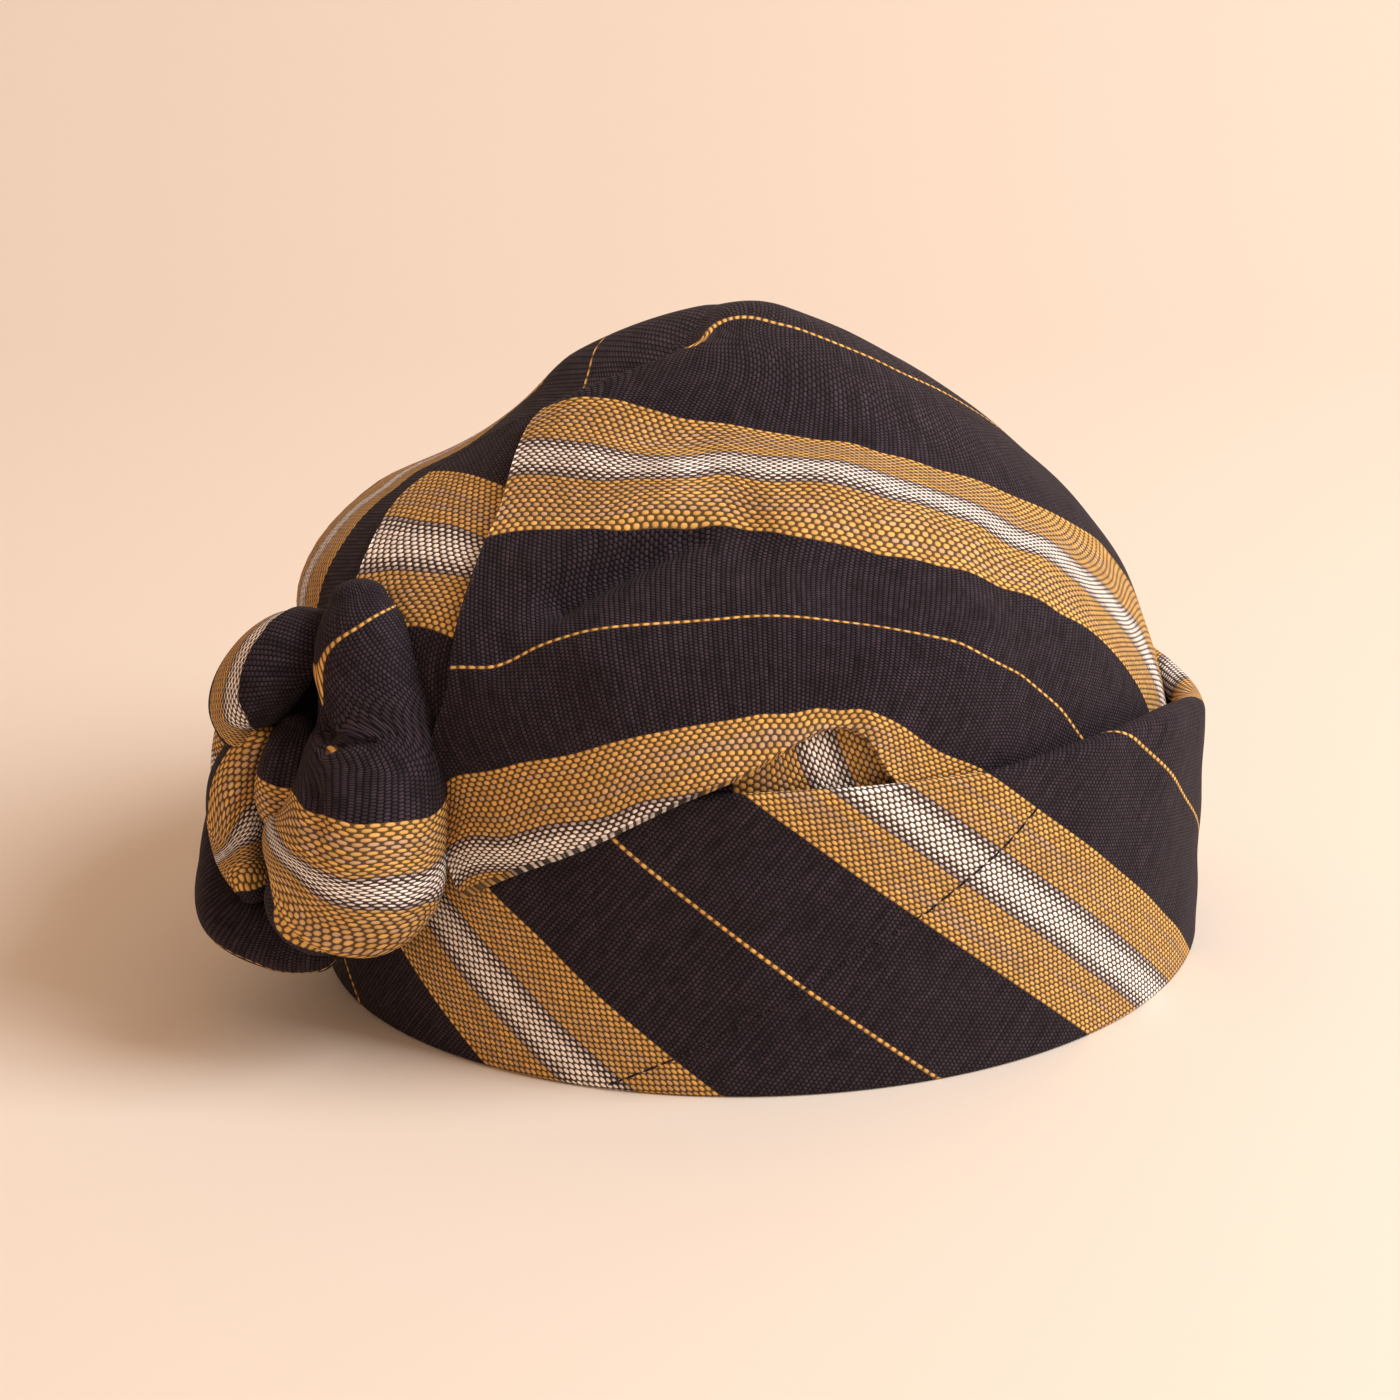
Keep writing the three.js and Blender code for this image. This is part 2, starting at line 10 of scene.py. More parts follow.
import bpy
import numpy as np
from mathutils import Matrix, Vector


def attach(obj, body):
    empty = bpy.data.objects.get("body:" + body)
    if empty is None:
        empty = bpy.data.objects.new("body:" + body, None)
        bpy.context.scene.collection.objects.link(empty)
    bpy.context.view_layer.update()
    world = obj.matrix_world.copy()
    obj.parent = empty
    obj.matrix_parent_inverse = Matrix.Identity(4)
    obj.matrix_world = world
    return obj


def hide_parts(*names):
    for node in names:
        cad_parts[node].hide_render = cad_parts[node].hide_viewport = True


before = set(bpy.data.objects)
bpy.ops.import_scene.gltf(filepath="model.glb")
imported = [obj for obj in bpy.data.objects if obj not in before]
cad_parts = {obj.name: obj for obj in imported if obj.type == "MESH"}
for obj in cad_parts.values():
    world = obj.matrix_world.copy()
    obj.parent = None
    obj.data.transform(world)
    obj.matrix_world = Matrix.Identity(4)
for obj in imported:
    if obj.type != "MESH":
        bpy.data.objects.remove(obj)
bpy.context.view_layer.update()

MM = 0.001

# Camera: where it stands round the cap, and the point that it looks at
CAMERA = {"azimuth": 250.0, "elevation": 20.4, "distance": 1030.0, "right": -14.94, "up": 52.94}
FOCAL_PIXELS = 4372.0
PHOTO_PIXELS = 1400.0
SENSOR = 36.0
CLIP_START = 0.05

# Crown and band
CROWN_HEIGHT = 146.8
CROWN_WALL = 2.0
RIM_LIFT = 1.5
BAND_HALF_LENGTH = 103.0
BAND_HALF_WIDTH = 93.0
BAND_WALL = 2.6
BAND_ROLL_DEPTH = 11.0
ARC_STEPS = 4000

# Sheets on the crown
SHEET_WALL = 1.5
SHEET_GAP = 0.9
PLEAT_STEP = 2.7
TUCK_STEP = 2.3

# Columns: latitude, reach to the front, back and side
CROWN_ROWS = np.array([
    (0, 97, 97, 87.5),
    (20, 98.5, 104, 91),
    (40, 98, 133, 104),
    (55, 86, 115.5, 94),
    (70, 67, 113, 86),
    (90, 48, 119, 74),
])

# Columns: azimuth from the front, height of the band's top, thickness of its rolled top
BAND_ROWS = np.array([
    (0, 56, 7), (16, 57, 7), (40, 67, 7), (62, 70, 5.5), (78, 70, 3),
    (116, 70, 2.6), (130, 65, 2.6), (142, 56, 2.6), (153, 48, 2.6), (180, 46, 2.6),
])

# Lines of the wrap along its stripes, from the hem up to the ridge: stations, pitch and lateral,
# from the back edge to the front
WRAP_LINES = {
    "hem": [(27, 27), (44, 37.8), (63, 43.3), (80, 44.9), (88, 51.5), (112, 63)],
    "lower gold": [(37, 20.8), (52, 33.8), (68, 40.5), (83, 44.2), (98, 49.9), (125, 54)],
    "pin line": [(46.3, 19.8), (59, 27.6), (78, 35.2), (97, 39.9), (117, 42), (140, 40)],
    "gold below": [(57.2, 11.9), (70, 21.2), (86.2, 32), (102, 37.3), (125, 34.6), (147, 29)],
    "gold above": [(68.1, 2.1), (76, 8.5), (90, 18.8), (106.4, 24.7), (128.8, 24.2), (150, 17)],
    "ridge": [(80.5, 3.5), (87.5, 1.2), (96.5, 5.5), (108, 4.5), (130, 2), (152, 0)],
}

# Where the lines below the ridge start on the wearer's left
WRAP_LEFT_EDGE = {
    "hem": (27, -27), "lower gold": (37, -25), "pin line": (48, -28), "gold below": (62, -26),
    "gold above": (76, -15),
}

# Folds of the crown and the wrap
# Columns: from pitch and lateral, to pitch and lateral, half width, depth
FOLDS = [
    (58, 23, 76, 26.5, 4.5, -2.8),
    (75, 6, 77, 24, 4, -1.5),
    (58, 30, 78, 33, 4, 2),
    (84, 44, 100, 36, 4, 1.5),
    (42, -10, 52, -17, 7, 3.6),
    (75, -8, 86, -6, 5, 3.8),
    (73, 22.8, 57.5, 22.2, 1.8, -4),
    (78, 23.2, 75.8, 22.9, 2, -1.8),
    (54.5, 22.6, 52, 23.2, 2, -1.6),
    (49.5, 23.2, 44, 20.9, 2.2, -1.4),
]

# Back pleat. Columns: pitch, lateral of its free edge and of its covered edge
PLEAT_ROWS = np.array([
    (38, 10, 26), (43, 6, 25), (48, 1, 23.5), (53, -4, 20.5), (57, -5, 16.5), (62, -3.7, 10),
    (67, -0.2, 9), (70.5, 3.8, 10),
])

# Tuck in the pocket above the band: azimuths from the front, and heights
TUCK = {"from": 123.0, "to": 88.0, "low": 54.0, "high": 90.0}

# Band stripes. Columns: arc from the front at the rim, place in the cloth
BAND_STRIPES = np.array([
    (-308, 290), (-150, 190), (12, 89.5), (52, 62), (106, 27), (148, 0.5), (195.5, -27),
    (250, -62), (294, -88.5), (420, -168),
])
BIAS = 0.82

# Knot lobes. Columns: centre x, y, z, half size across, half size deep
KNOT_YAW = 20.0
KNOT_LOBES = {
    "knot_lobe": [
        (-24, 103, 101, 6.5, 6), (-27, 103, 95, 10, 9), (-31, 102.6, 85, 12.8, 12),
        (-34, 101.5, 75, 14.6, 15), (-37, 103.5, 66, 16.3, 17.6), (-40, 107, 56, 18, 20),
        (-40, 109.8, 48, 20.3, 20.5), (-38, 113.5, 41, 19, 17.5), (-34, 118, 35, 11.5, 11),
    ],
    "knot_loop": [
        (-18, 109, 92, 5, 5.7), (-14.5, 115.7, 88.5, 7.8, 10.8), (-11.3, 121.3, 82, 8.8, 12.8),
        (-8.3, 125.3, 74, 7.7, 12.3), (-9, 125, 66, 4.5, 8),
    ],
    "knot_inner": [
        (-18, 116, 71, 4, 4), (-22.5, 118, 66, 6.6, 7.6), (-26, 119, 58, 8.3, 9.5),
        (-28, 118, 50, 5.5, 7),
    ],
    "knot_turn": [
        (-13, 123, 70, 3.8, 6), (-11, 127.5, 57, 6.8, 11), (-11, 127.5, 43, 6.5, 12),
        (-13, 125, 33, 4.5, 8),
    ],
    "knot_tail": [
        (-3, 126, 58, 4, 6), (-3, 127.5, 47, 5.5, 7.5), (-4, 128.5, 37, 7, 10), (-9, 129, 27.5, 8, 12.5),
        (-18, 121, 22.5, 7.5, 9.5), (-26, 114, 22, 5.5, 7),
    ],
    "knot_far_lobe": [
        (8, 108, 78, 8, 8), (12, 109, 68, 14, 13), (15, 109, 52, 18, 17), (14, 110, 36, 17, 15),
        (8, 112, 23, 10, 9),
    ],
}

# Stripes on the knot: for a place in the cloth, where it lies on the lobe, as places along the lobe
# and turns round it in degrees
KNOT_STRIPES = {
    "knot_lobe": {
        0.5: [(0.066, 164), (0.124, 90), (0.163, 52), (0.212, 18), (0.276, 36), (0.47, 40)],
        8: [(0.184, 112)], 10: [(0.264, 89)], 22: [(0.322, 152)],
        6: [(0.334, 61), (0.417, 86)],
        4: [(0.405, 48)], 9: [(0.366, 96)], 1.5: [(0.444, 61)], 18: [(0.441, 142)], 15: [(0.53, 86)],
        27: [(0.597, 25), (0.618, 55), (0.615, 70), (0.609, 96), (0.588, 119), (0.547, 155)],
        39: [(0.7, 21), (0.729, 45), (0.729, 63), (0.716, 85), (0.691, 108), (0.671, 139)],
        50: [(0.79, 50), (0.801, 68), (0.791, 89), (0.77, 113), (0.739, 145)],
        61: [(1.03, 69), (1.0, 104), (0.99, 119), (0.98, 131), (0.97, 154)],
        58: [(0.9, 182)], 30: [(0.6, -60)], 62: [(0.9, 260)],
        7: [(0.34, 28), (0.38, 42)],
        20: [(0.3, 260)], 60: [(0.8, -60)],
    },
    "knot_loop": {
        41: [(0.068, -60), (0.177, -1), (0.264, 28), (0.429, 52), (0.539, 73), (0.6, 98)],
        48.5: [(0.216, -12), (0.345, 9), (0.492, 34), (0.605, 55), (0.733, 81)],
        61: [(0.664, 20), (0.4, -25), (0.25, -50)],
        60: [(0.9, 60)],
    },
    "knot_inner": {
        6: [(-0.089, 93)], 14: [(0.231, 91)], 12: [(0.05, 12)],
        27: [(0.55, 55), (0.584, 77), (0.559, 147)],
        44: [(0.997, 81)], 20: [(0.5, 265)],
    },
    "knot_turn": {
        27: [(-0.12, 111), (0.23, 33)],
        31: [(0.305, 57)],
        39.5: [(0.314, 149), (0.383, 118), (0.48, 93), (0.573, 70), (0.641, 45)],
        50: [(0.658, 175), (0.582, 123), (0.606, 90), (0.666, 62), (0.715, 40)],
        61: [(0.9, 100)], 45: [(0.5, 265)],
    },
    "knot_tail": {
        62: [(0.679, 152), (0.587, 126), (0.507, 102), (0.33, 80)],
        52: [(0.45, 150)],
        70: [(0.42, 62), (0.614, 109)],
        84: [(0.502, 27)],
        89.5: [(0.655, 45), (0.759, 50)],
        86: [(0.872, 60)], 98: [(0.5, -60)],
    },
    "knot_far_lobe": {
        10: [(0, 90)],
        27: [(0.3, 90), (0.3, 0), (0.3, 180)],
        62: [(0.75, 90), (0.75, 0), (0.75, 180)],
        80: [(1, 90)], 45: [(0.5, 270)],
    },
}

# The loop's black fold laps over its striped side along an edge. Columns: place, turn
LOOP_EDGE = np.array([
    (-0.1, -75), (0.068, -60), (0.177, -1), (0.264, 28), (0.429, 52), (0.539, 73), (0.6, 98),
    (0.75, 125), (1.1, 140),
])
LOOP_LIP = {"height": 0.8, "half": 3}

# Stripes on the loop's black fold, in the form of the table above
LOOP_FOLD = {
    20: [(0.2, 20), (0.4, 60), (0.6, 110)],
    8: [(0.4, 150), (0.8, 200)],
    9: [(0.1, 100)], 4: [(0.4, 255)],
}

# Creases and hollows of the knot
# Columns: from place and turn, to place and turn, half width, depth
KNOT_FOLDS = {
    "knot_lobe": [
        (0.465, 37, 0.417, 86, 1.3, -1.5), (0.417, 86, 0.39, 108, 1.0, -0.7),
        (0.3, 15, 0.385, 38, 4.0, -3.6), (0.58, 44, 0.63, 56, 2.6, -1.8),
        (0.75, 60, 0.7, 130, 6, -0.7), (0.16, 110, 0.3, 120, 6, 0.8),
    ],
    "knot_loop": [(0.1, 90, 0.75, 130, 4, -1.2)],
    "knot_inner": [(0.15, 70, 0.9, 78, 2.2, -1.1), (0.2, 110, 0.9, 112, 2.5, -0.9)],
    "knot_turn": [(0.2, 120, 0.8, 75, 3, -1.0)],
    "knot_tail": [(0.35, 100, 0.9, 110, 4, -1.2)],
    "knot_far_lobe": [(0.45, 40, 0.4, 140, 2.0, -2.2), (0.7, 30, 0.75, 150, 4, -1.2)],
}

# Turns round a lobe where its relief and the care for its weave rise and fall
LOBE_RELIEF = ((-90, -60), (240, 270))
LOBE_SEEN = ((-40, 0), (180, 220))
LOBE_CARE = 0.03

# Soft waves of hand-folded cloth: how many are added up, their lengths and their heights
WAVE_COUNT = 7
WAVE_LENGTHS = (18, 55)
WAVE_HEIGHT = {"band": 0.35, "wrap": 0.25, "lobe": 0.25}
WAVE_SEED = {"band": 3, "wrap": 5}
BAND_WAVES_START = (4, 20)

# Weave: yarn pitch across the stripes, float pitch along them, and the yarns of one repeat
YARN = 0.92
FLOAT = 2.0
REPEAT = 97.0


def ramp(value, low, high):
    """0 below low, 1 above high, smooth between."""
    t = np.clip((value - low) / (high - low), 0, 1)
    return t * t * (3 - 2 * t)


def window(value, rise, fall):
    """1 between a rise and a fall, 0 outside them. Each is where it starts and ends."""
    return ramp(value, *rise) * (1 - ramp(value, *fall))


def smooth(rows, column, at):
    """A smooth curve through a column of a table, read at values of its first column."""
    key, value = rows[:, 0], rows[:, column]
    index = np.arange(len(key))
    before, after = np.maximum(index - 1, 0), np.minimum(index + 1, len(key) - 1)
    slope = (value[after] - value[before]) / (key[after] - key[before])
    i = np.clip(np.searchsorted(key, at, side="left") - 1, 0, len(key) - 2)
    span = key[i + 1] - key[i]
    t = np.clip((at - key[i]) / span, 0, 1)
    rise = t * t * (3 - 2 * t)
    bend = t * (1 - t) ** 2 * slope[i] + t * t * (t - 1) * slope[i + 1]
    return value[i] * (1 - rise) + value[i + 1] * rise + span * bend


def spline(points, at):
    """Points on an even spline through the first axis of points, at 0 to 1."""
    points = np.asarray(points, float)
    last = len(points) - 1
    place = np.clip(np.asarray(at, float), 0, 1) * last
    i = np.minimum(place.astype(int), last - 1)
    w = (place - i).reshape(place.shape + (1,) * (points.ndim - 1))
    p0, p1 = points[np.maximum(i - 1, 0)], points[i]
    p2, p3 = points[i + 1], points[np.minimum(i + 2, last)]
    v0, v1 = (p2 - p0) / 2, (p3 - p1) / 2
    return (2 * p1 - 2 * p2 + v0 + v1) * w**3 + (3 * p2 - 3 * p1 - 2 * v0 - v1) * w**2 + v0 * w + p1


def unit(vectors):
    return vectors / np.maximum(np.linalg.norm(vectors, axis=-1, keepdims=True), 1e-9)


# Crown surface

def crown_halves(y, z):
    """Half sizes of the crown at a height: along Y towards the side that y is on, and along X."""
    latitude = np.arcsin(np.clip(z / CROWN_HEIGHT, 0, 1))
    rows, level = np.degrees(latitude), np.cos(latitude)
    front, back, side = (smooth(CROWN_ROWS, k, rows) * level for k in (1, 2, 3))
    return np.where(y < 0, front, back), side


def direction(pitch, lateral):
    pitch, lateral = np.radians(pitch), np.radians(lateral)
    flat = np.cos(lateral)
    return np.stack([-np.sin(lateral) + 0 * pitch, flat * np.cos(pitch), flat * np.sin(pitch)], -1)


def crown_reach(way):
    """Where rays from the rim's centre leave the crown."""
    halvings = 30
    inside = np.zeros(way.shape[:-1])
    outside = inside + 2 * CROWN_HEIGHT
    for _ in range(halvings):
        middle = (inside + outside) / 2
        x, y, z = np.moveaxis(way * middle[..., None], -1, 0)
        along, side = crown_halves(y, z)
        level = (x / np.maximum(side, 1e-9)) ** 2 + (y / np.maximum(along, 1e-9)) ** 2
        within = (z < CROWN_HEIGHT) & (level < 1)
        inside = np.where(within, middle, inside)
        outside = np.where(within, outside, middle)
    return inside


def fold_depth(rows, first, second):
    """Depth of soft folds along straight runs in two coordinates."""
    depth = np.zeros(np.shape(first))
    for from_a, from_b, to_a, to_b, half, deep in rows:
        run_a, run_b = to_a - from_a, to_b - from_b
        off_a, off_b = first - from_a, second - from_b
        t = np.clip((off_a * run_a + off_b * run_b) / (run_a**2 + run_b**2), 0, 1)
        away = np.hypot(off_a - t * run_a, off_b - t * run_b)
        depth += deep * np.exp(-((away / half) ** 2))
    return depth


def crown_at(pitch, lateral):
    """Points on the crown's outside, folds included, and the smooth crown's normals there."""
    probe = 0.2

    def at(p, l):
        way = direction(p, l)
        return way * crown_reach(way)[..., None]

    point = at(pitch, lateral)
    normal = unit(np.cross(at(pitch + probe, lateral) - point, at(pitch, lateral + probe) - point))
    normal *= np.sign((normal * point).sum(-1, keepdims=True))
    return point + normal * fold_depth(FOLDS, pitch, lateral)[..., None], normal


def station_of(point):
    x, y, z = np.moveaxis(point, -1, 0)
    return np.degrees(np.arctan2(z, y)), np.degrees(np.arctan2(-x, np.hypot(y, z)))


def azimuth_of(point):
    """Azimuth from the front, 0 to 180 on either side."""
    return np.degrees(np.arctan2(np.abs(point[..., 0]), -point[..., 1]))


# Cloth coordinates

def stripe_frame(grid, across):
    """Unit vectors along the stripes of a surface grid whose across coordinate is given."""
    by_row, by_column = np.gradient(grid, axis=0), np.gradient(grid, axis=1)
    v_row, v_column = np.gradient(across, axis=0), np.gradient(across, axis=1)
    a = (by_row * by_row).sum(-1)
    b = (by_row * by_column).sum(-1)
    c = (by_column * by_column).sum(-1)
    scale = np.maximum(a * c - b * b, 1e-9)
    slope = by_row * ((c * v_row - b * v_column) / scale)[..., None]
    slope += by_column * ((a * v_column - b * v_row) / scale)[..., None]
    return unit(np.cross(unit(np.cross(by_row, by_column)), slope))


def cloth_grid(grid, across, care=None):
    """Both cloth coordinates. The one along the stripes fits best where the care is greatest."""
    rounds, enough = 600, 1e-8
    care = np.ones(grid.shape[:2]) if care is None else care
    care_row, care_column = (care[1:] + care[:-1]) / 2, (care[:, 1:] + care[:, :-1]) / 2
    way = stripe_frame(grid, across)
    want_row = ((grid[1:] - grid[:-1]) * (way[1:] + way[:-1]) / 2).sum(-1)
    want_column = ((grid[:, 1:] - grid[:, :-1]) * (way[:, 1:] + way[:, :-1]) / 2).sum(-1)

    def spread(rows, columns):
        out = np.zeros(grid.shape[:2])
        out[1:] += rows
        out[:-1] -= rows
        out[:, 1:] += columns
        out[:, :-1] -= columns
        return out

    u = np.zeros(grid.shape[:2])
    u[1:] += np.cumsum(want_row.mean(1))[:, None]
    u += np.concatenate([[0], np.cumsum(want_column.mean(0))])[None]
    miss_row, miss_column = want_row - np.diff(u, axis=0), want_column - np.diff(u, axis=1)
    rest = spread(care_row * miss_row, care_column * miss_column)
    step, size = rest.copy(), (rest * rest).sum()
    for _ in range(rounds):
        bent = spread(care_row * np.diff(step, axis=0), care_column * np.diff(step, axis=1))
        length = size / max((step * bent).sum(), 1e-12)
        u += length * step
        rest -= length * bent
        fresh = (rest * rest).sum()
        if fresh < enough:
            break
        step = rest + step * (fresh / size)
        size = fresh
    wanted = (care_row * want_row**2).sum() + (care_column * want_column**2).sum()
    found = (care_row * np.diff(u, axis=0) ** 2).sum()
    found += (care_column * np.diff(u, axis=1) ** 2).sum()
    return np.stack([u * math.sqrt(wanted / found), across], -1)


def stripe_rows(edges):
    """Rows of two coordinates and a place in the cloth, from a table by place."""
    return np.array([(*spot, place) for place, spots in edges.items() for spot in spots], float)


def stripe_field(rows, scale=1, ease=0.3):
    """A smooth field of the cloth coordinate near rows of two coordinates and a value."""
    knots = rows[:, :2] * scale
    count = len(rows)

    def kernel(a, b):
        r = np.linalg.norm(a[:, None] - b[None], axis=-1)
        return r * r * np.log(r + 1e-6)

    def plane(a):
        return np.column_stack([np.ones(len(a)), a])

    system = np.zeros((count + 3, count + 3))
    system[:count, :count] = kernel(knots, knots) + ease * np.eye(count)
    system[:count, count:] = plane(knots)
    system[count:, :count] = system[:count, count:].T
    weights = np.linalg.solve(system, np.append(rows[:, 2], [0, 0, 0]))

    def field(first, second):
        flat = np.column_stack([first.ravel(), second.ravel()]) * scale
        value = kernel(flat, knots) @ weights[:count] + plane(flat) @ weights[count:]
        return value.reshape(first.shape)

    return field


def wrinkles(u, v, height, seed):
    """Small soft unevenness of hand-folded cloth."""
    draw = np.random.default_rng(seed)
    total = np.zeros(np.shape(u))
    for _ in range(WAVE_COUNT):
        angle = draw.uniform(0, math.pi)
        length = draw.uniform(*WAVE_LENGTHS)
        phase = draw.uniform(0, 2 * math.pi)
        total += np.sin((u * math.cos(angle) + v * math.sin(angle)) * 2 * math.pi / length + phase)
    return total * height / math.sqrt(WAVE_COUNT)


# Meshes

class Surface:
    """Collects grids of quads with cloth coordinates, and makes one mesh of them."""

    def __init__(self):
        self.points, self.quads, self.cloth, self.count = [], [], [], 0

    def add_points(self, points):
        first = self.count
        points = np.asarray(points).reshape(-1, 3)
        self.points.append(points)
        self.count += len(points)
        return first + np.arange(len(points))

    def add_quads(self, index, cloth):
        """Quads of a grid of point numbers, with the cloth coordinates of the same grid."""
        def corners(a):
            return np.stack([a[:-1, :-1], a[1:, :-1], a[1:, 1:], a[:-1, 1:]], 2)
        self.quads.append(corners(index).reshape(-1, 4))
        self.cloth.append(corners(cloth).reshape(-1, 4, 2))

    def add_fan(self, fan, cloth):
        """Quads of an end, all with the same cloth coordinates."""
        self.quads.append(fan)
        self.cloth.append(np.broadcast_to(cloth, fan.shape + (2,)))

    def add_cap(self, ring, centre, cloth, flip):
        """Quads from a closed ring of point numbers to a point in its middle."""
        pole = self.add_points(centre)
        fan = np.stack([np.repeat(pole, len(ring) // 2), ring[0:-2:2], ring[1:-1:2], ring[2::2]], 1)
        self.add_fan(fan[:, ::-1] if flip else fan, cloth)

    def make(self, name, replaces=True):
        points, quads = np.concatenate(self.points) * MM, np.concatenate(self.quads)
        cloth = np.concatenate(self.cloth)
        mesh = bpy.data.meshes.new(name)
        mesh.vertices.add(len(points))
        mesh.vertices.foreach_set("co", points.astype(np.float32).ravel())
        mesh.loops.add(quads.size)
        mesh.loops.foreach_set("vertex_index", quads.astype(np.int32).ravel())
        mesh.polygons.add(len(quads))
        mesh.polygons.foreach_set("loop_start", np.arange(0, quads.size, 4, dtype=np.int32))
        mesh.update(calc_edges=True)
        layer = mesh.uv_layers.new(name="cloth")
        layer.uv.foreach_set("vector", cloth.astype(np.float32).ravel())
        mesh.shade_smooth()
        mesh.validate()
        piece = bpy.data.objects.new(name + "_cloth", mesh)
        bpy.context.scene.collection.objects.link(piece)
        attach(piece, "root")
        if replaces:
            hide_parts(name)
        return piece


def closed(grid):
    """A grid with its first column again after its last."""
    return np.concatenate([grid, grid[:, :1]], 1)


def border(grid):
    """The border of a grid, once round, as a closed row."""
    return np.concatenate([grid[:-1, 0], grid[-1, :-1], grid[:0:-1, -1], grid[0, ::-1]])


def sheet_piece(name, outer, inner, cloth):
    """A closed sheet between two grids, with a rounded edge all round."""
    surface = Surface()
    rows, columns = outer.shape[:2]
    top = surface.add_points(outer).reshape(rows, columns)
    bottom = surface.add_points(inner).reshape(rows, columns)
    surface.add_quads(top, cloth)
    surface.add_quads(bottom[:, ::-1], cloth[:, ::-1])
    away = np.zeros_like(outer)
    away[0] += outer[0] - outer[1]
    away[-1] += outer[-1] - outer[-2]
    away[:, 0] += outer[:, 0] - outer[:, 1]
    away[:, -1] += outer[:, -1] - outer[:, -2]
    thick = np.linalg.norm(outer - inner, axis=-1, keepdims=True)
    edge = (outer + inner) / 2 + unit(away) * thick * 0.5
    loop_top, loop_bottom = border(top), border(bottom)
    loop_edge = surface.add_points(border(edge)[:-1])
    loop_edge = np.append(loop_edge, loop_edge[0])
    loop_cloth = border(cloth)
    surface.add_quads(np.stack([loop_edge, loop_top]), np.stack([loop_cloth, loop_cloth]))
    surface.add_quads(np.stack([loop_bottom, loop_edge]), np.stack([loop_cloth, loop_cloth]))
    return surface.make(name)


# Band

def band_column(column, azimuth):
    folded = np.abs((azimuth + 180) % 360 - 180)
    return smooth(BAND_ROWS, column, folded)


def band_section(azimuth):
    """The band's section at azimuths: distance in from its outside, height, and cloth length."""
    outside_points, roll_points, shoulder_points, inside_points, hem_points = 36, 17, 12, 21, 5
    top, roll = band_column(1, azimuth)[:, None], band_column(2, azimuth)[:, None]
    share = np.linspace(0, 1, outside_points)
    arc = np.linspace(0, math.pi, roll_points)[1:-1]
    hem = np.linspace(0, math.pi / 2, hem_points)
    inner_end = np.minimum(top - BAND_ROLL_DEPTH, top - roll)
    start, crest = BAND_WALL / 2, top - roll / 2
    turn_in = start * (1 - np.sin(hem[:-1])) + 0 * top
    turn_up = start * (1 - np.cos(hem[:-1])) + 0 * top
    outside_in = 0 * share + 0 * top
    outside_up = start + (crest - start) * share
    roll_in = roll / 2 * (1 - np.cos(arc))
    roll_up = crest + roll / 2 * np.sin(arc)
    down = np.linspace(0, 1, shoulder_points)
    shoulder_in = roll + (BAND_WALL - roll) * ramp(down, 0, 1)
    shoulder_up = crest + (inner_end - crest) * down
    lower = np.linspace(0, 1, inside_points)[1:]
    inside_in = BAND_WALL + 0 * top + 0 * lower
    inside_up = inner_end + (start - inner_end) * lower
    hem_in = start * (1 + np.cos(hem[1:-1])) + 0 * top
    hem_up = start * (1 - np.sin(hem[1:-1])) + 0 * top
    inward = np.concatenate([turn_in, outside_in, roll_in, shoulder_in, inside_in, hem_in], 1)
    height = np.concatenate([turn_up, outside_up, roll_up, shoulder_up, inside_up, hem_up], 1)
    steps = np.hypot(np.diff(inward, axis=1), np.diff(height, axis=1))
    length = np.concatenate([0 * top, np.cumsum(steps, axis=1)], 1)
    outside = turn_in.shape[1]
    return inward, height, length - length[:, outside:outside + 1] + start


def band_arc(angle):
    """Arc length round the band's outside from the front, positive to the wearer's right."""
    fine = np.linspace(-math.pi, math.pi, ARC_STEPS + 1)
    step = np.hypot(BAND_HALF_WIDTH * np.cos(fine), BAND_HALF_LENGTH * np.sin(fine))
    arc = np.concatenate([[0], np.cumsum((step[1:] + step[:-1]) / 2 * np.diff(fine))])
    return np.interp(angle, fine, arc - arc[ARC_STEPS // 2])


def bias_cloth(arc, height):
    """Cloth coordinates of cloth on the bias, at arcs round the band and heights up it."""
    length = math.hypot(1, BIAS)
    v = np.interp(arc - height / BIAS, BAND_STRIPES[:, 0], BAND_STRIPES[:, 1])
    u = -(arc + height * BIAS) / length
    return np.stack([u, v], -1)


def band_waves(arc, height):
    waves = wrinkles(arc, height, WAVE_HEIGHT["band"], WAVE_SEED["band"])
    return waves * ramp(height, *BAND_WAVES_START)


def make_band():
    turns = 420
    angle = np.linspace(-math.pi, math.pi, turns + 1)
    side, front = BAND_HALF_WIDTH * np.sin(angle), BAND_HALF_LENGTH * np.cos(angle)
    azimuth = np.degrees(np.arctan2(side, front))
    inward, height, length = band_section(azimuth)
    arc = band_arc(angle)[:, None]
    cloth = bias_cloth(arc + 0 * length, length)
    inward = inward - band_waves(arc + 0 * height, height) * (inward < BAND_WALL)
    x = -(BAND_HALF_WIDTH - inward) * np.sin(angle)[:, None]
    y = -(BAND_HALF_LENGTH - inward) * np.cos(angle)[:, None]
    grid = np.stack([x, y, height], -1)
    surface = Surface()
    index = surface.add_points(grid[:-1]).reshape(turns, -1)
    index = closed(np.concatenate([index, index[:1]]))
    cloth = np.concatenate([cloth, cloth[:, -1:]], 1)
    surface.add_quads(index[:, ::-1], cloth[:, ::-1])
    return surface.make("band")


# Hand stitches of the band's bias seam. Columns: arc round the band from the front, height
SEAM = np.array([
    (222.5, 1), (203.7, 10.7), (186.6, 20.7), (169.4, 31.4), (151.4, 40.7), (134.6, 51.6),
    (121.5, 61.5),
])
STITCH = {
    "first": 0.5, "length": 4.3, "pitch": 4.4, "radius": 0.26, "rise": 0.3, "sunk": 0.15, "tip": 1.02,
}

# A place in the cloth where it is black
BLACK_PLACE = 10.0


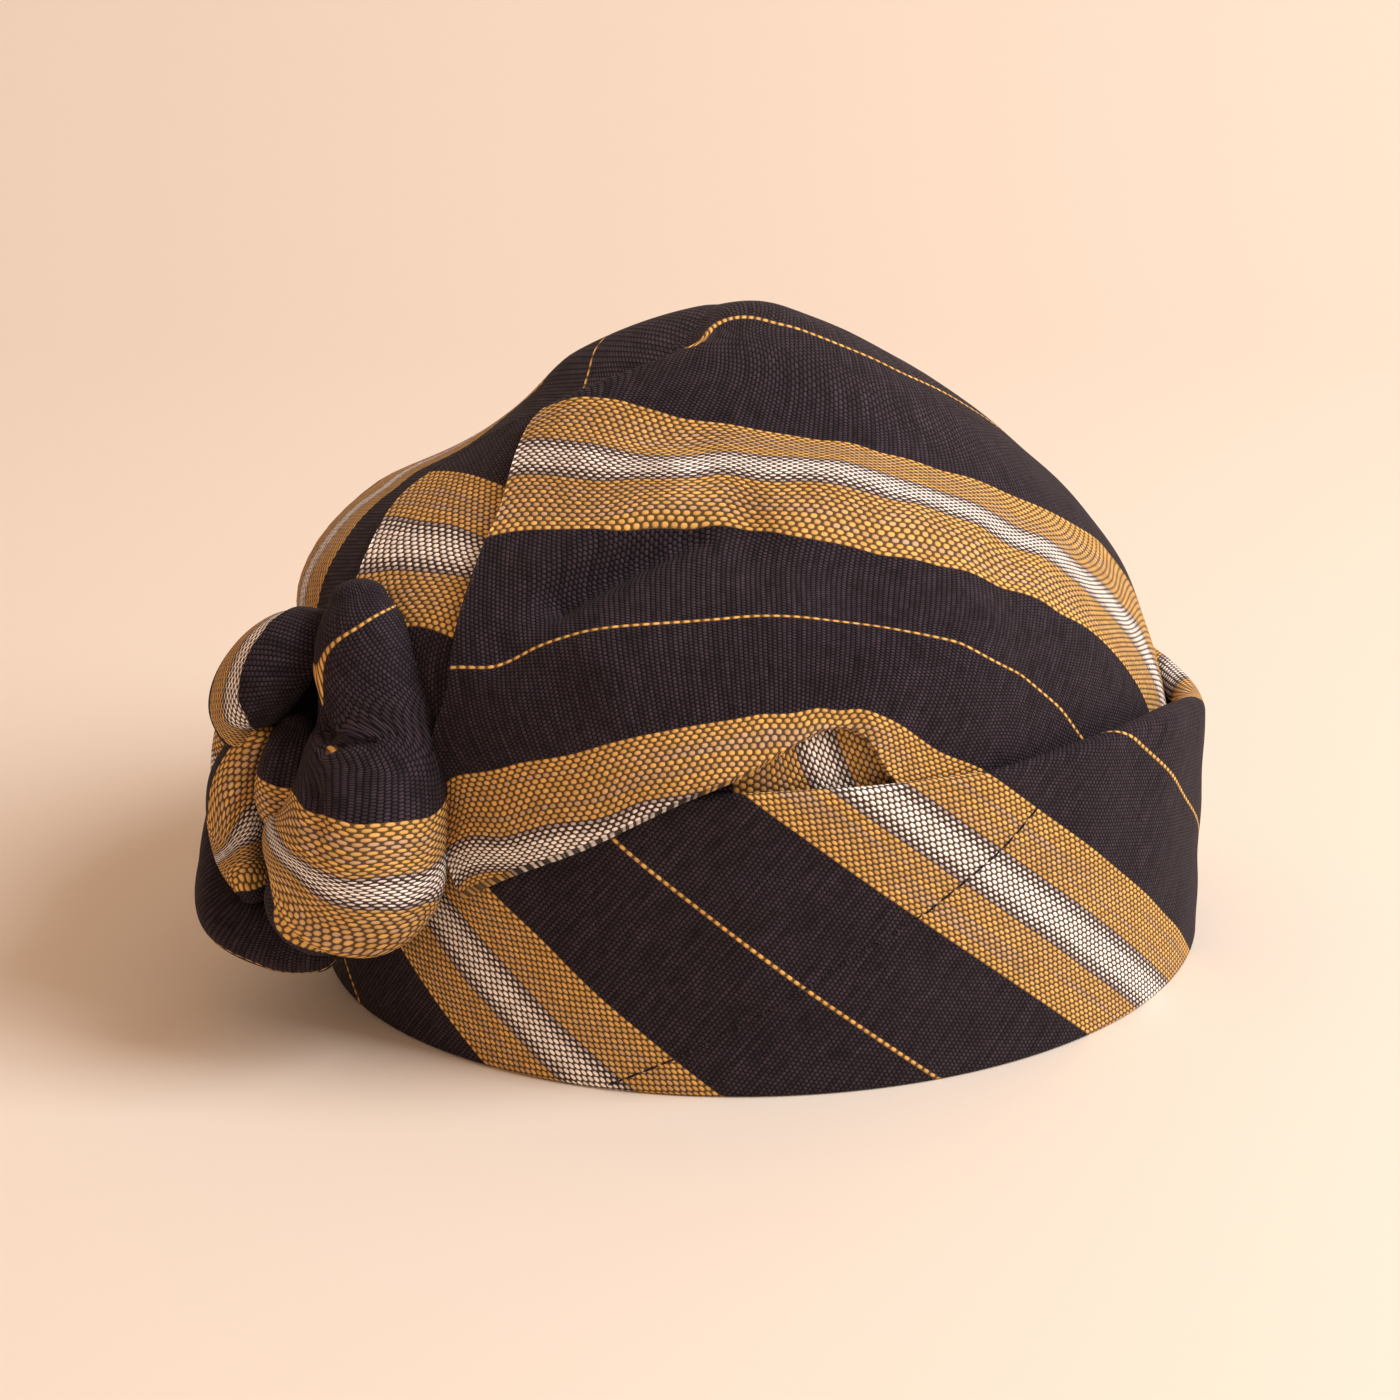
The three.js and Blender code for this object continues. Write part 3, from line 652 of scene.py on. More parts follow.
def make_stitches():
    rings, sides = 7, 8
    surface = Surface()
    steps = np.linalg.norm(np.diff(SEAM, axis=0), axis=1)
    place = np.concatenate([[0], np.cumsum(steps)])
    angles = np.linspace(-math.pi, math.pi, ARC_STEPS + 1)
    turn = np.linspace(0, 2 * math.pi, sides + 1)
    for start in np.arange(STITCH["first"], place[-1] - STITCH["length"], STITCH["pitch"]):
        t = np.linspace(0, 1, rings)
        at = start + STITCH["length"] * t
        arc, z = (np.interp(at, place, SEAM[:, i]) for i in (0, 1))
        angle = np.interp(arc, band_arc(angles), angles)
        out = np.stack([-np.sin(angle), -np.cos(angle), 0 * angle], -1)
        foot = out * (BAND_HALF_WIDTH, BAND_HALF_LENGTH, 1) + np.stack([0 * z, 0 * z, z], -1)
        lift = band_waves(arc, z) + STITCH["rise"] * np.sin(math.pi * t) - STITCH["sunk"]
        centre = foot + out * lift[:, None]
        way = unit(np.gradient(centre, axis=0))
        aside = unit(np.cross(out, way))
        taper = np.sqrt(np.clip(STITCH["tip"] - (2 * t - 1) ** 4, 0, 1))
        radius = (STITCH["radius"] * taper)[:, None, None]
        round_it = aside[:, None] * np.cos(turn)[:, None] + out[:, None] * np.sin(turn)[:, None]
        ring = centre[:, None] + radius * round_it
        index = closed(surface.add_points(ring[:, :-1]).reshape(rings, sides))
        u = at[:, None] + 0 * turn
        cloth = np.stack([u, BLACK_PLACE + 0 * u], -1)
        surface.add_quads(index, cloth)
        for end in (index[0, ::-1], index[-1]):
            fan = np.stack([np.repeat(end[0], sides // 2 - 1), end[1:-2:2], end[2:-1:2], end[3::2]], 1)
            surface.add_fan(fan, (at[0], BLACK_PLACE))
    return surface.make("seam_stitches", replaces=False)


# Crown

# Stations over which the crown comes into sight and goes out of it, and the care for its weave
CROWN_SEEN = {"pitch": ((40, 52), (92, 104)), "lateral": ((-34, -24), (8, 16))}
CROWN_CARE = {"least": 0.02, "back": 0.1, "seen": 2}
CROWN_BACK_ENDS = (70, 100)

# For a place in the cloth, its stations: pitch, lateral
CROWN_STRIPES = {
    0.5: [(71, 1.5), (73.2, -1.3), (75.3, -4.5), (77.6, -7)],
    -27: [(42, -2), (44.7, -3.7), (48.5, -6.8), (52.3, -9.2), (55.9, -11), (62, -8.9), (67.2, -9),
        (70.8, -7.4)],
    -44: [(44.4, -7.3), (48.1, -9.9), (52.9, -11.5)],
    -55: [(46.3, -10.8), (49.6, -12.9), (52.7, -13.6), (56.1, -15.3), (61, -14.6)],
    -108: [(45, -30)], -100: [(60, -32)], -180: [(45, -60)], -80: [(75, -40)], -20: [(20, 0)],
    -120: [(20, -40), (90, -60)],
    40: [(40, 40)], 60: [(90, 40)],
}


def make_crown():
    rings, turns, top_share = 110, 240, 0.995
    rim = math.degrees(math.asin(RIM_LIFT / CROWN_HEIGHT))
    rise = np.sin(np.linspace(0, top_share, rings) * math.pi / 2)
    latitude = np.radians(rim + (90 - rim) * rise)[:, None]
    turn = np.linspace(0, 2 * math.pi, turns + 1)[None]
    z = CROWN_HEIGHT * np.sin(latitude) + 0 * turn
    along, side = crown_halves(-np.cos(turn) + 0 * latitude, z)
    rough = np.stack([-side * np.sin(turn), -along * np.cos(turn), z], -1)
    pitch, lateral = station_of(rough)
    outer, normal = crown_at(pitch, lateral)
    outer[0, :, 2] = RIM_LIFT
    inner = outer - normal * CROWN_WALL
    inner[0, :, 2] = RIM_LIFT
    across = stripe_field(stripe_rows(CROWN_STRIPES))(pitch, lateral)
    seen = window(pitch, *CROWN_SEEN["pitch"]) * window(lateral, *CROWN_SEEN["lateral"])
    care = CROWN_CARE["least"] + CROWN_CARE["back"] * (1 - ramp(pitch, *CROWN_BACK_ENDS))
    care = care + CROWN_CARE["seen"] * seen
    cloth = cloth_grid(outer, across, care)
    surface = Surface()
    faces = []
    for grid in (outer, inner):
        faces.append(closed(surface.add_points(grid[:, :-1]).reshape(rings, turns)))
    surface.add_quads(faces[0][:, ::-1], cloth[:, ::-1])
    surface.add_quads(faces[1], cloth)
    rim_faces, rim_cloth = np.stack([faces[1][0], faces[0][0]]), np.stack([cloth[0], cloth[0]])
    surface.add_quads(rim_faces[:, ::-1], rim_cloth[:, ::-1])
    for face, grid, flip in ((faces[0], outer, True), (faces[1], inner, False)):
        surface.add_cap(face[-1], grid[-1].mean(0), cloth[-1, 0], flip)
    return surface.make("crown")


# Wrap

# Rolled edge: its height, and the shares across and along the wrap where it ends
ROLL = {"puff": 2.0, "across": (0.03, 0.09), "along": (0.48, 0.6)}

# Where the wrap stands off the crown, over the pleat, the tuck and the band
OVER_PLEAT = {"along": (0.2, 0.4), "across": (0.4, 0.5)}
OVER_TUCK = {"azimuth": ((64, 82), (128, 142)), "height": ((44, 52), (96, 112))}
OVER_BAND = {"azimuth": (92, 104), "above": (2, 16)}

# The back edge round the ridge is sunk into the crown, deeper and longer on the far side
SUNK = {
    "across": ((0.38, 0.47), (0.7, 0.82)), "far": ((0.49, 0.56), (0.66, 0.78)), "end": 0.1,
    "far_start": 0.2, "far_end": 0.35, "outer": 0.5, "far_outer": 1.3, "inner": 0.6, "far_inner": 1.0,
}

# Care for the weave on the far side, and the share across the wrap where that starts
WRAP_CARE = 0.05
WRAP_FAR_SHARE = 0.55

# For a place in the cloth, its stations: pitch, lateral
WRAP_STRIPES = {
    0.5: [(81.5, 4.1), (84.4, 1.7), (86.4, 1.1), (88.1, 1.6), (89.7, 3.2), (92.4, 4.8), (95.8, 6),
        (100.2, 6.7), (108, 5.5), (130, 2), (152, 0)],
    27: [(68.4, 2.3), (71.1, 4.3), (73.6, 7.1), (75.9, 10.3), (78.5, 12.9), (83.1, 15.8), (88.2, 18),
        (93.6, 19.7), (100.1, 20.6), (107.4, 20.6), (116.4, 19.2), (124, 16.7)],
    39: [(64.8, 4.5), (67.3, 7.7), (69.7, 11), (72.1, 14.1), (75.1, 16), (82, 18.5), (89.3, 20.4),
        (95.1, 22.2), (101.7, 23.4), (109, 25), (117.8, 25.2), (126.1, 24.2), (136.5, 20.7)],
    50: [(62.2, 7.9), (65.2, 11.4), (70.9, 16.3), (77.7, 18.9), (84.7, 21.6), (90.3, 23.7),
        (96.6, 24.9), (103.5, 26.3), (111.2, 27.5), (117.5, 28.2), (126, 27.6)],
    62: [(56.4, 13), (60.4, 15.6), (66.3, 20.4), (71.8, 21.9), (75.2, 22.7), (77.9, 24), (81.6, 26.8),
        (84.4, 28.1), (90.3, 30.6), (96.8, 32.2), (104.4, 33.4), (113.6, 33.4), (121.3, 32.4),
        (133.5, 30.2)],
    89.5: [(46.7, 20.3), (49, 22.9), (51.8, 24.1), (57.3, 26.6), (62.6, 29.5), (70.1, 32.6),
        (78.4, 35.2), (87.3, 37.7), (96.9, 39.6), (107.1, 40.9), (115.9, 41.7), (140, 40)],
    116: [(38.2, 22.5), (44.5, 28.8), (52, 34.1), (60.3, 38), (69.6, 41), (77, 42.7), (82.1, 43.8),
        (87.5, 45.8), (94.1, 48.5), (125, 54)],
    128: [(33.1, 24.9), (37.3, 29.7), (43.5, 34.5), (49.8, 38.6)],
    139: [(29.5, 27.4), (33.3, 31)],
    131: [(46.1, 38.2)], 129: [(51.9, 39.7)], 126.5: [(57.3, 41.2)], 124: [(62.7, 42.1)],
    121.5: [(67.9, 43)], 119.5: [(73.3, 43.7)], 118: [(79.1, 44.3)], 8.4: [(88, 6.5)], 10: [(96, 11)],
    10.2: [(104, 11.5)], 9: [(116, 9)], 9.5: [(82, 8)], -7.4: [(88, -4)], -5.8: [(96, 0)],
    -5.7: [(104, 0)], -6: [(116, -2)], -8: [(84, -3)], 123: [(84, 47.5)], 127: [(88, 51)],
    -27: [(76, -15), (90, -18), (106, -22), (128, -22)],
    -62: [(62, -26), (86, -32), (125, -34)],
    -89: [(48, -28), (78, -35), (117, -42)],
    -116: [(37, -25), (68, -40), (98, -50)],
    -143: [(27, -27), (63, -43)],
}

# Sharper folds of the wrap alone, in the columns of the folds above
WRAP_CREASES = [
    (72, 22.8, 58, 22.2, 1.5, -1.4), (73, 20.2, 58, 19.5, 2.4, 1.8), (68.5, 11.5, 74.5, 16.8, 2.0, 0.9),
    (74.5, 16.8, 92, 22.6, 2.2, 1.3), (80, 22.9, 84, 22.6, 2.0, -1.2), (70, 8, 77, 14.5, 2.2, -0.8),
    (49.5, 21.5, 53, 30, 2.0, -0.6), (84, 46, 88, 46.4, 1.6, 0.8),
]


def wrap_lines():
    """Stations of the wrap's lines from the right hem over to the left hem."""
    right = [np.array(line, float) for line in WRAP_LINES.values()]
    left = []
    for edge, stations in zip(WRAP_LEFT_EDGE.values(), right):
        mirrored = stations * (1, -1)
        mirrored[0] = edge
        mirrored[1] = (mirrored[0] + mirrored[2]) / 2
        left.append(mirrored)
    return np.array(right + left[::-1])


def wrap_under(along, share, point):
    """How far the wrap stands off the crown, over the pleat and over the tuck."""
    over_pleat = (1 - ramp(along, *OVER_PLEAT["along"])) * (1 - ramp(share, *OVER_PLEAT["across"]))
    beside = window(azimuth_of(point), *OVER_TUCK["azimuth"])
    level = window(point[..., 2], *OVER_TUCK["height"])
    return np.maximum(PLEAT_STEP * over_pleat, TUCK_STEP * beside * level)


def over_band(point, clearance):
    """The wrap's lower part hangs outside the band behind the pocket."""
    azimuth = azimuth_of(point)
    above = point[..., 2] - band_column(1, azimuth)
    share = ramp(azimuth, *OVER_BAND["azimuth"]) * (1 - ramp(above, *OVER_BAND["above"]))
    out = np.hypot(point[..., 0], point[..., 1])
    reach = out / np.hypot(point[..., 0] / BAND_HALF_WIDTH, point[..., 1] / BAND_HALF_LENGTH)
    scale = 1 + share * (np.maximum(out, reach + clearance) / out - 1)
    return point * np.stack([scale, scale, np.ones_like(scale)], -1)


def make_wrap():
    rows, columns = 150, 260
    lines = wrap_lines()
    along, share = np.linspace(0, 1, rows + 1), np.linspace(0, 1, columns + 1)
    stations = spline(np.moveaxis(spline(np.moveaxis(lines, 1, 0), along), 1, 0), share)
    pitch, lateral = np.moveaxis(np.moveaxis(stations, 1, 0), -1, 0)
    along, share = along[:, None] + 0 * pitch, share[None] + 0 * pitch
    base, normal = crown_at(pitch, lateral)
    under = wrap_under(along, share, base) + SHEET_GAP
    puff = ROLL["puff"] * (1 - ramp(share, *ROLL["across"])) * (1 - ramp(along, *ROLL["along"]))
    soft = wrinkles(base[..., 1], base[..., 2], WAVE_HEIGHT["wrap"], WAVE_SEED["wrap"])
    soft = soft + fold_depth(WRAP_CREASES, pitch, lateral)
    far = window(share, *SUNK["far"])
    sunk = 1 - ramp(along, SUNK["far_start"] * far, SUNK["end"] + SUNK["far_end"] * far)
    sunk = sunk * window(share, *SUNK["across"])
    outer_lift = (under + SHEET_WALL + puff + soft) * (1 - sunk)
    outer_lift = outer_lift + (SUNK["outer"] - SUNK["far_outer"] * far) * sunk
    inner_lift = (under + soft) * (1 - sunk) - (SUNK["inner"] + SUNK["far_inner"] * far) * sunk

    def face(lift, clearance):
        return over_band(base + normal * lift[..., None], clearance)

    outer = face(outer_lift, SHEET_GAP + SHEET_WALL + puff)
    inner = face(inner_lift, SHEET_GAP + 0 * under)
    across = stripe_field(stripe_rows(WRAP_STRIPES), ease=1)(pitch, lateral)
    care = WRAP_CARE + (share < WRAP_FAR_SHARE)
    cloth = cloth_grid(outer, across, care)
    return sheet_piece("wrap", outer, inner, cloth)


# Back pleat and tucks

# For a place in the cloth, its stations: pitch, lateral
PLEAT_STRIPES = {
    27: [(57.5, -3.4), (59.3, 1.7), (60.8, 7)],
    39: [(51.8, 0.2), (52.9, 3.3), (54.9, 7.5), (56.3, 11.8)],
    50: [(46, 4.2), (48.1, 7), (50.3, 10.7), (52.9, 15)],
    57: [(45.3, 10)],
    62: [(46, 14), (47.7, 17.9)],
    8: [(67, 0)], 16: [(63, -3)],
}


def make_pleat():
    rows, columns = 90, 70
    pitch = np.linspace(PLEAT_ROWS[0, 0], PLEAT_ROWS[-1, 0], rows + 1)[:, None]
    free, covered = smooth(PLEAT_ROWS, 1, pitch), smooth(PLEAT_ROWS, 2, pitch)
    lateral = covered + (free - covered) * np.linspace(0, 1, columns + 1)[None]
    pitch = pitch + 0 * lateral
    base, normal = crown_at(pitch, lateral)
    outer = base + normal * (SHEET_GAP + SHEET_WALL)
    inner = base + normal * SHEET_GAP
    across = stripe_field(stripe_rows(PLEAT_STRIPES))(pitch, lateral)
    cloth = cloth_grid(outer, across)
    return sheet_piece("back_pleat", outer, inner, cloth)


# Millimetres to a degree of azimuth and to a unit of height
TUCK_SCALE = np.array((1.6, 1))

# For a place in the cloth, where it lies: azimuth from the front, height
TUCK_STRIPES = {
    27: [(114.7, 73), (113.5, 77)],
    39: [(106.4, 77.6), (105.2, 72.4), (104.5, 69.9)],
    50: [(100.7, 80.1), (99.6, 75.2), (98.3, 70.5)],
    62: [(91, 76)], 20: [(120, 75)],
}


def make_tuck(name, side):
    rows, columns = 70, 50
    azimuth = np.radians(np.linspace(TUCK["from"], TUCK["to"], rows + 1))[:, None]
    z = np.linspace(TUCK["low"], TUCK["high"], columns + 1)[None] + 0 * azimuth
    along, half_width = crown_halves(-np.cos(azimuth) + 0 * z, z)
    rough = np.stack([side * half_width * np.sin(azimuth), -along * np.cos(azimuth), z], -1)
    base, normal = crown_at(*station_of(rough))
    outer = base + normal * (SHEET_GAP + SHEET_WALL)
    inner = base + normal * SHEET_GAP
    across = stripe_field(stripe_rows(TUCK_STRIPES), TUCK_SCALE)(azimuth_of(outer), z)
    cloth = cloth_grid(outer, across)
    if side > 0:
        outer, inner, cloth = outer[:, ::-1], inner[:, ::-1], cloth[:, ::-1]
    return sheet_piece(name, outer, inner, cloth)


# Knot

def lobe_grid(name):
    """Points of a lobe by place along it and turn round it, with those two and its outward way."""
    along_steps, turns, cap_steps, reach = 120, 144, 10, 0.7
    table = np.array(KNOT_LOBES[name], float)
    cap = np.sin(np.linspace(0, math.pi / 2, cap_steps + 1))[1:-1]
    place = np.linspace(0, 1, along_steps + 1)
    centre, size = spline(table[:, :3], place), spline(table[:, 3:], place)
    tangent = unit(np.gradient(centre, axis=0))
    cap_place = reach * size[[0, -1], 0] / lobe_length(name)
    ends = []
    for end, sign, share in ((0, -1, cap_place[0]), (-1, 1, cap_place[1])):
        out = centre[end] + tangent[end] * (sign * reach * size[end, 0] * cap)[:, None]
        small = size[end] * np.sqrt(1 - cap**2)[:, None]
        ahead = np.repeat(tangent[end][None], len(cap), 0)
        ends.append((out, small, ahead, place[end] + sign * share * cap))
    (out0, small0, tan0, place0), (out1, small1, tan1, place1) = ends
    centre = np.concatenate([out0[::-1], centre, out1])
    size = np.concatenate([small0[::-1], size, small1])
    tangent = np.concatenate([tan0[::-1], tangent, tan1])
    place = np.concatenate([place0[::-1], place, place1])
    yaw = math.radians(KNOT_YAW)
    facing = np.array([-math.cos(yaw), math.sin(yaw), 0])
    deep = unit(facing - tangent * (tangent @ facing)[:, None])
    across = np.cross(tangent, deep)
    turn = np.linspace(-90, 270, turns + 1)[None] + 0 * place[:, None]
    angle = np.radians(turn)
    side, front = size[:, 0, None] * np.cos(angle), size[:, 1, None] * np.sin(angle)
    grid = centre[:, None] + across[:, None] * side[..., None] + deep[:, None] * front[..., None]
    outward = unit(across[:, None] * np.cos(angle)[..., None] + deep[:, None] * np.sin(angle)[..., None])
    return grid, place[:, None] + 0 * turn, turn, outward


def lobe_length(name):
    table = np.array(KNOT_LOBES[name], float)
    return np.linalg.norm(np.diff(table[:, :3], axis=0), axis=1).sum()


def make_lobe(name):
    grid, place, turn, outward = lobe_grid(name)
    length = place * lobe_length(name)
    step = np.linalg.norm(np.diff(grid, axis=1), axis=-1)
    girth = np.concatenate([0 * step[:, :1], np.cumsum(step, axis=1)], 1)
    front = np.abs(turn[0] - 90).argmin()
    girth = girth - girth[:, front:front + 1]

    def chart(rows):
        """Rows of place, turn and more, with lengths along and round the lobe instead."""
        rows = np.array(rows, float)
        i = np.abs(place[:, 0] - rows[:, :1]).argmin(1)
        j = np.abs(turn[0] - rows[:, 1:2]).argmin(1)
        return np.column_stack([length[i, j], girth[i, j], rows[:, 2:]])

    folds = np.array(KNOT_FOLDS[name], float)
    folds = np.column_stack([chart(folds[:, :2]), chart(folds[:, 2:])])
    bend = fold_depth(folds, length, girth) + wrinkles(length, girth, WAVE_HEIGHT["lobe"], len(name))
    across = stripe_field(chart(stripe_rows(KNOT_STRIPES[name])))(length, girth)
    if name == "knot_loop":
        edge = np.interp(place, LOOP_EDGE[:, 0], LOOP_EDGE[:, 1])
        fold = stripe_field(chart(stripe_rows(LOOP_FOLD)))(length, girth)
        across = np.where(turn > edge, fold, across)
        bend = bend + LOOP_LIP["height"] * ramp(turn - edge, -LOOP_LIP["half"], LOOP_LIP["half"])
    grid = grid + outward * (bend * window(turn, *LOBE_RELIEF))[..., None]
    care = LOBE_CARE + window(turn, *LOBE_SEEN)
    cloth = cloth_grid(grid, across, care)
    surface = Surface()
    index = closed(surface.add_points(grid[:, :-1]).reshape(len(grid), -1))
    surface.add_quads(index, cloth)
    for end, flip in ((0, False), (-1, True)):
        surface.add_cap(index[end], grid[end, :-1].mean(0), cloth[end, 0], flip)
    return surface.make(name)


# Materials

CLOTH_COLOURS = {
    "black": (0.0310, 0.0215, 0.0305),
    "gold": (0.640, 0.366, 0.108),
    "mauve": (0.380, 0.270, 0.215),
    "grey": (0.420, 0.345, 0.330),
    "pale": (0.780, 0.690, 0.640),
    "white": (0.920, 0.830, 0.760),
    # Colour of the gaps between floats: the dark weft, deepened with painted shade
    "gap": (0.030, 0.017, 0.012),
}

# Gaps between floats, in the dark weft's colour deepened with painted shade. Columns: share of the
# yarn's colour that shows in them, width
GAPS = {
    "gold": (0.15, 1.0), "grey": (0.05, 1.45), "pale": (0.03, 1.45), "white": (0.06, 1.05),
    "black": (0.0, 1.0),
}

# Yarns of one repeat. Columns: first yarn, colour, share of its yarn that shows in streaks of mauve
STRIPE_CHART = [
    (0, "gold", 0.0), (1, "black", 0.0), (29, "gold", 0.0), (32, "gold", 0.45), (39, "gold", 0.2),
    (42, "grey", 0.0), (43, "pale", 0.0), (45, "white", 0.0), (51, "pale", 0.0), (53, "grey", 0.0),
    (54, "gold", 0.2), (57, "gold", 0.45), (64, "gold", 0.0), (67, "black", 0.0),
]

# Forms of a float and of a bead of the black ribs. Columns: half width, power of the edge
FLOAT_ACROSS, FLOAT_ALONG = (0.47, 2.2), (0.37, 2.6)
BEAD_ACROSS, BEAD_ALONG = (0.46, 2.2), (0.45, 2.4)
EDGE = (1.25, 0.75)

# Light and dark in the yarns: from float to float, in streaks along the yarns and in black slubs. The
# height share is painted light: a painted highlight on the crown of each float and painted shade towards
# its edges. The black gap share is painted shade between the black beads.
SHADE = {"least": 0.56, "scatter": 0.4, "height": 0.56, "black_gap": 0.12}
STREAK = {"length": 55.0, "step": 0.83, "detail": 2.0, "from": 0.42, "to": 0.62, "least": 0.6}
SLUB = {"length": 9.0, "step": 0.83, "detail": 3.0, "contrast": 1.8, "least": 0.1}

BUMP = {"Strength": 0.9, "Distance": 0.35 * MM}
CLOTH_FINISH = {
    "Roughness": 0.82, "Specular IOR Level": 0.12, "Sheen Weight": 0.03, "Sheen Roughness": 0.5,
}
PAPER_FINISH = {"Base Color": (0.84, 0.76, 0.665, 1), "Roughness": 0.9, "Specular IOR Level": 0.1}


def set_inputs(node, values):
    for name, value in values.items():
        node.inputs[name].default_value = value


class Nodes:
    """Short ways to add nodes to a material."""

    def __init__(self, tree):
        self.tree = tree

    def add(self, kind, **settings):
        node = self.tree.nodes.new(kind)
        for name, value in settings.items():
            setattr(node, name, value)
        return node

    def link(self, source, target):
        if isinstance(source, (int, float)):
            target.default_value = source
        else:
            self.tree.links.new(source, target)

    def math(self, operation, *inputs, clamp=False):
        node = self.add("ShaderNodeMath", operation=operation, use_clamp=clamp)
        for socket, value in zip(node.inputs, inputs):
            self.link(value, socket)
        return node.outputs[0]

    def centred(self, value, whole):
        """How far a value is from the middle of its step."""
        return self.math("SUBTRACT", self.math("SUBTRACT", value, whole), 0.5)

    def away(self, value, form):
        """Distance from the middle of a form, 1 at its half width."""
        half, power = form
        return self.math("POWER", self.math("ABSOLUTE", self.math("DIVIDE", value, half)), power)

    def plane(self, x, y):
        node = self.add("ShaderNodeCombineXYZ")
        self.link(x, node.inputs[0])
        self.link(y, node.inputs[1])
        return node.outputs[0]

    def noise(self, x, y, detail):
        node = self.add("ShaderNodeTexNoise", noise_dimensions="2D")
        set_inputs(node, {"Scale": 1.0, "Detail": detail})
        self.link(self.plane(x, y), node.inputs["Vector"])
        return node.outputs["Fac"]

    def ramp_between(self, value, low, high):
        node = self.add("ShaderNodeMapRange", interpolation_type="SMOOTHSTEP")
        self.link(value, node.inputs["Value"])
        set_inputs(node, {"From Min": low, "From Max": high})
        return node.outputs["Result"]

    def blend(self, share, a, b):
        node = self.add("ShaderNodeMix", data_type="FLOAT")
        for value, socket in zip((share, a, b), (node.inputs[0], node.inputs[2], node.inputs[3])):
            self.link(value, socket)
        return node.outputs[0]

    def chart(self, value, rows):
        """Colours that change in steps at the places given."""
        node = self.add("ShaderNodeValToRGB")
        node.color_ramp.interpolation = "CONSTANT"
        stops = node.color_ramp.elements
        for i, (place, colour) in enumerate(rows):
            stop = stops[i] if i < 2 else stops.new(place)
            stop.position = place
            stop.color = colour
        self.link(value, node.inputs[0])
        return node.outputs[0]

    def mix(self, share, a, b):
        node = self.add("ShaderNodeMix", data_type="RGBA")
        self.link(share, node.inputs["Factor"])
        colours = [socket for socket in node.inputs if socket.type == "RGBA"]
        for value, socket in zip((a, b), colours):
            if isinstance(value, tuple):
                socket.default_value = (*value, 1)
            else:
                self.tree.links.new(value, socket)
        return next(socket for socket in node.outputs if socket.type == "RGBA")


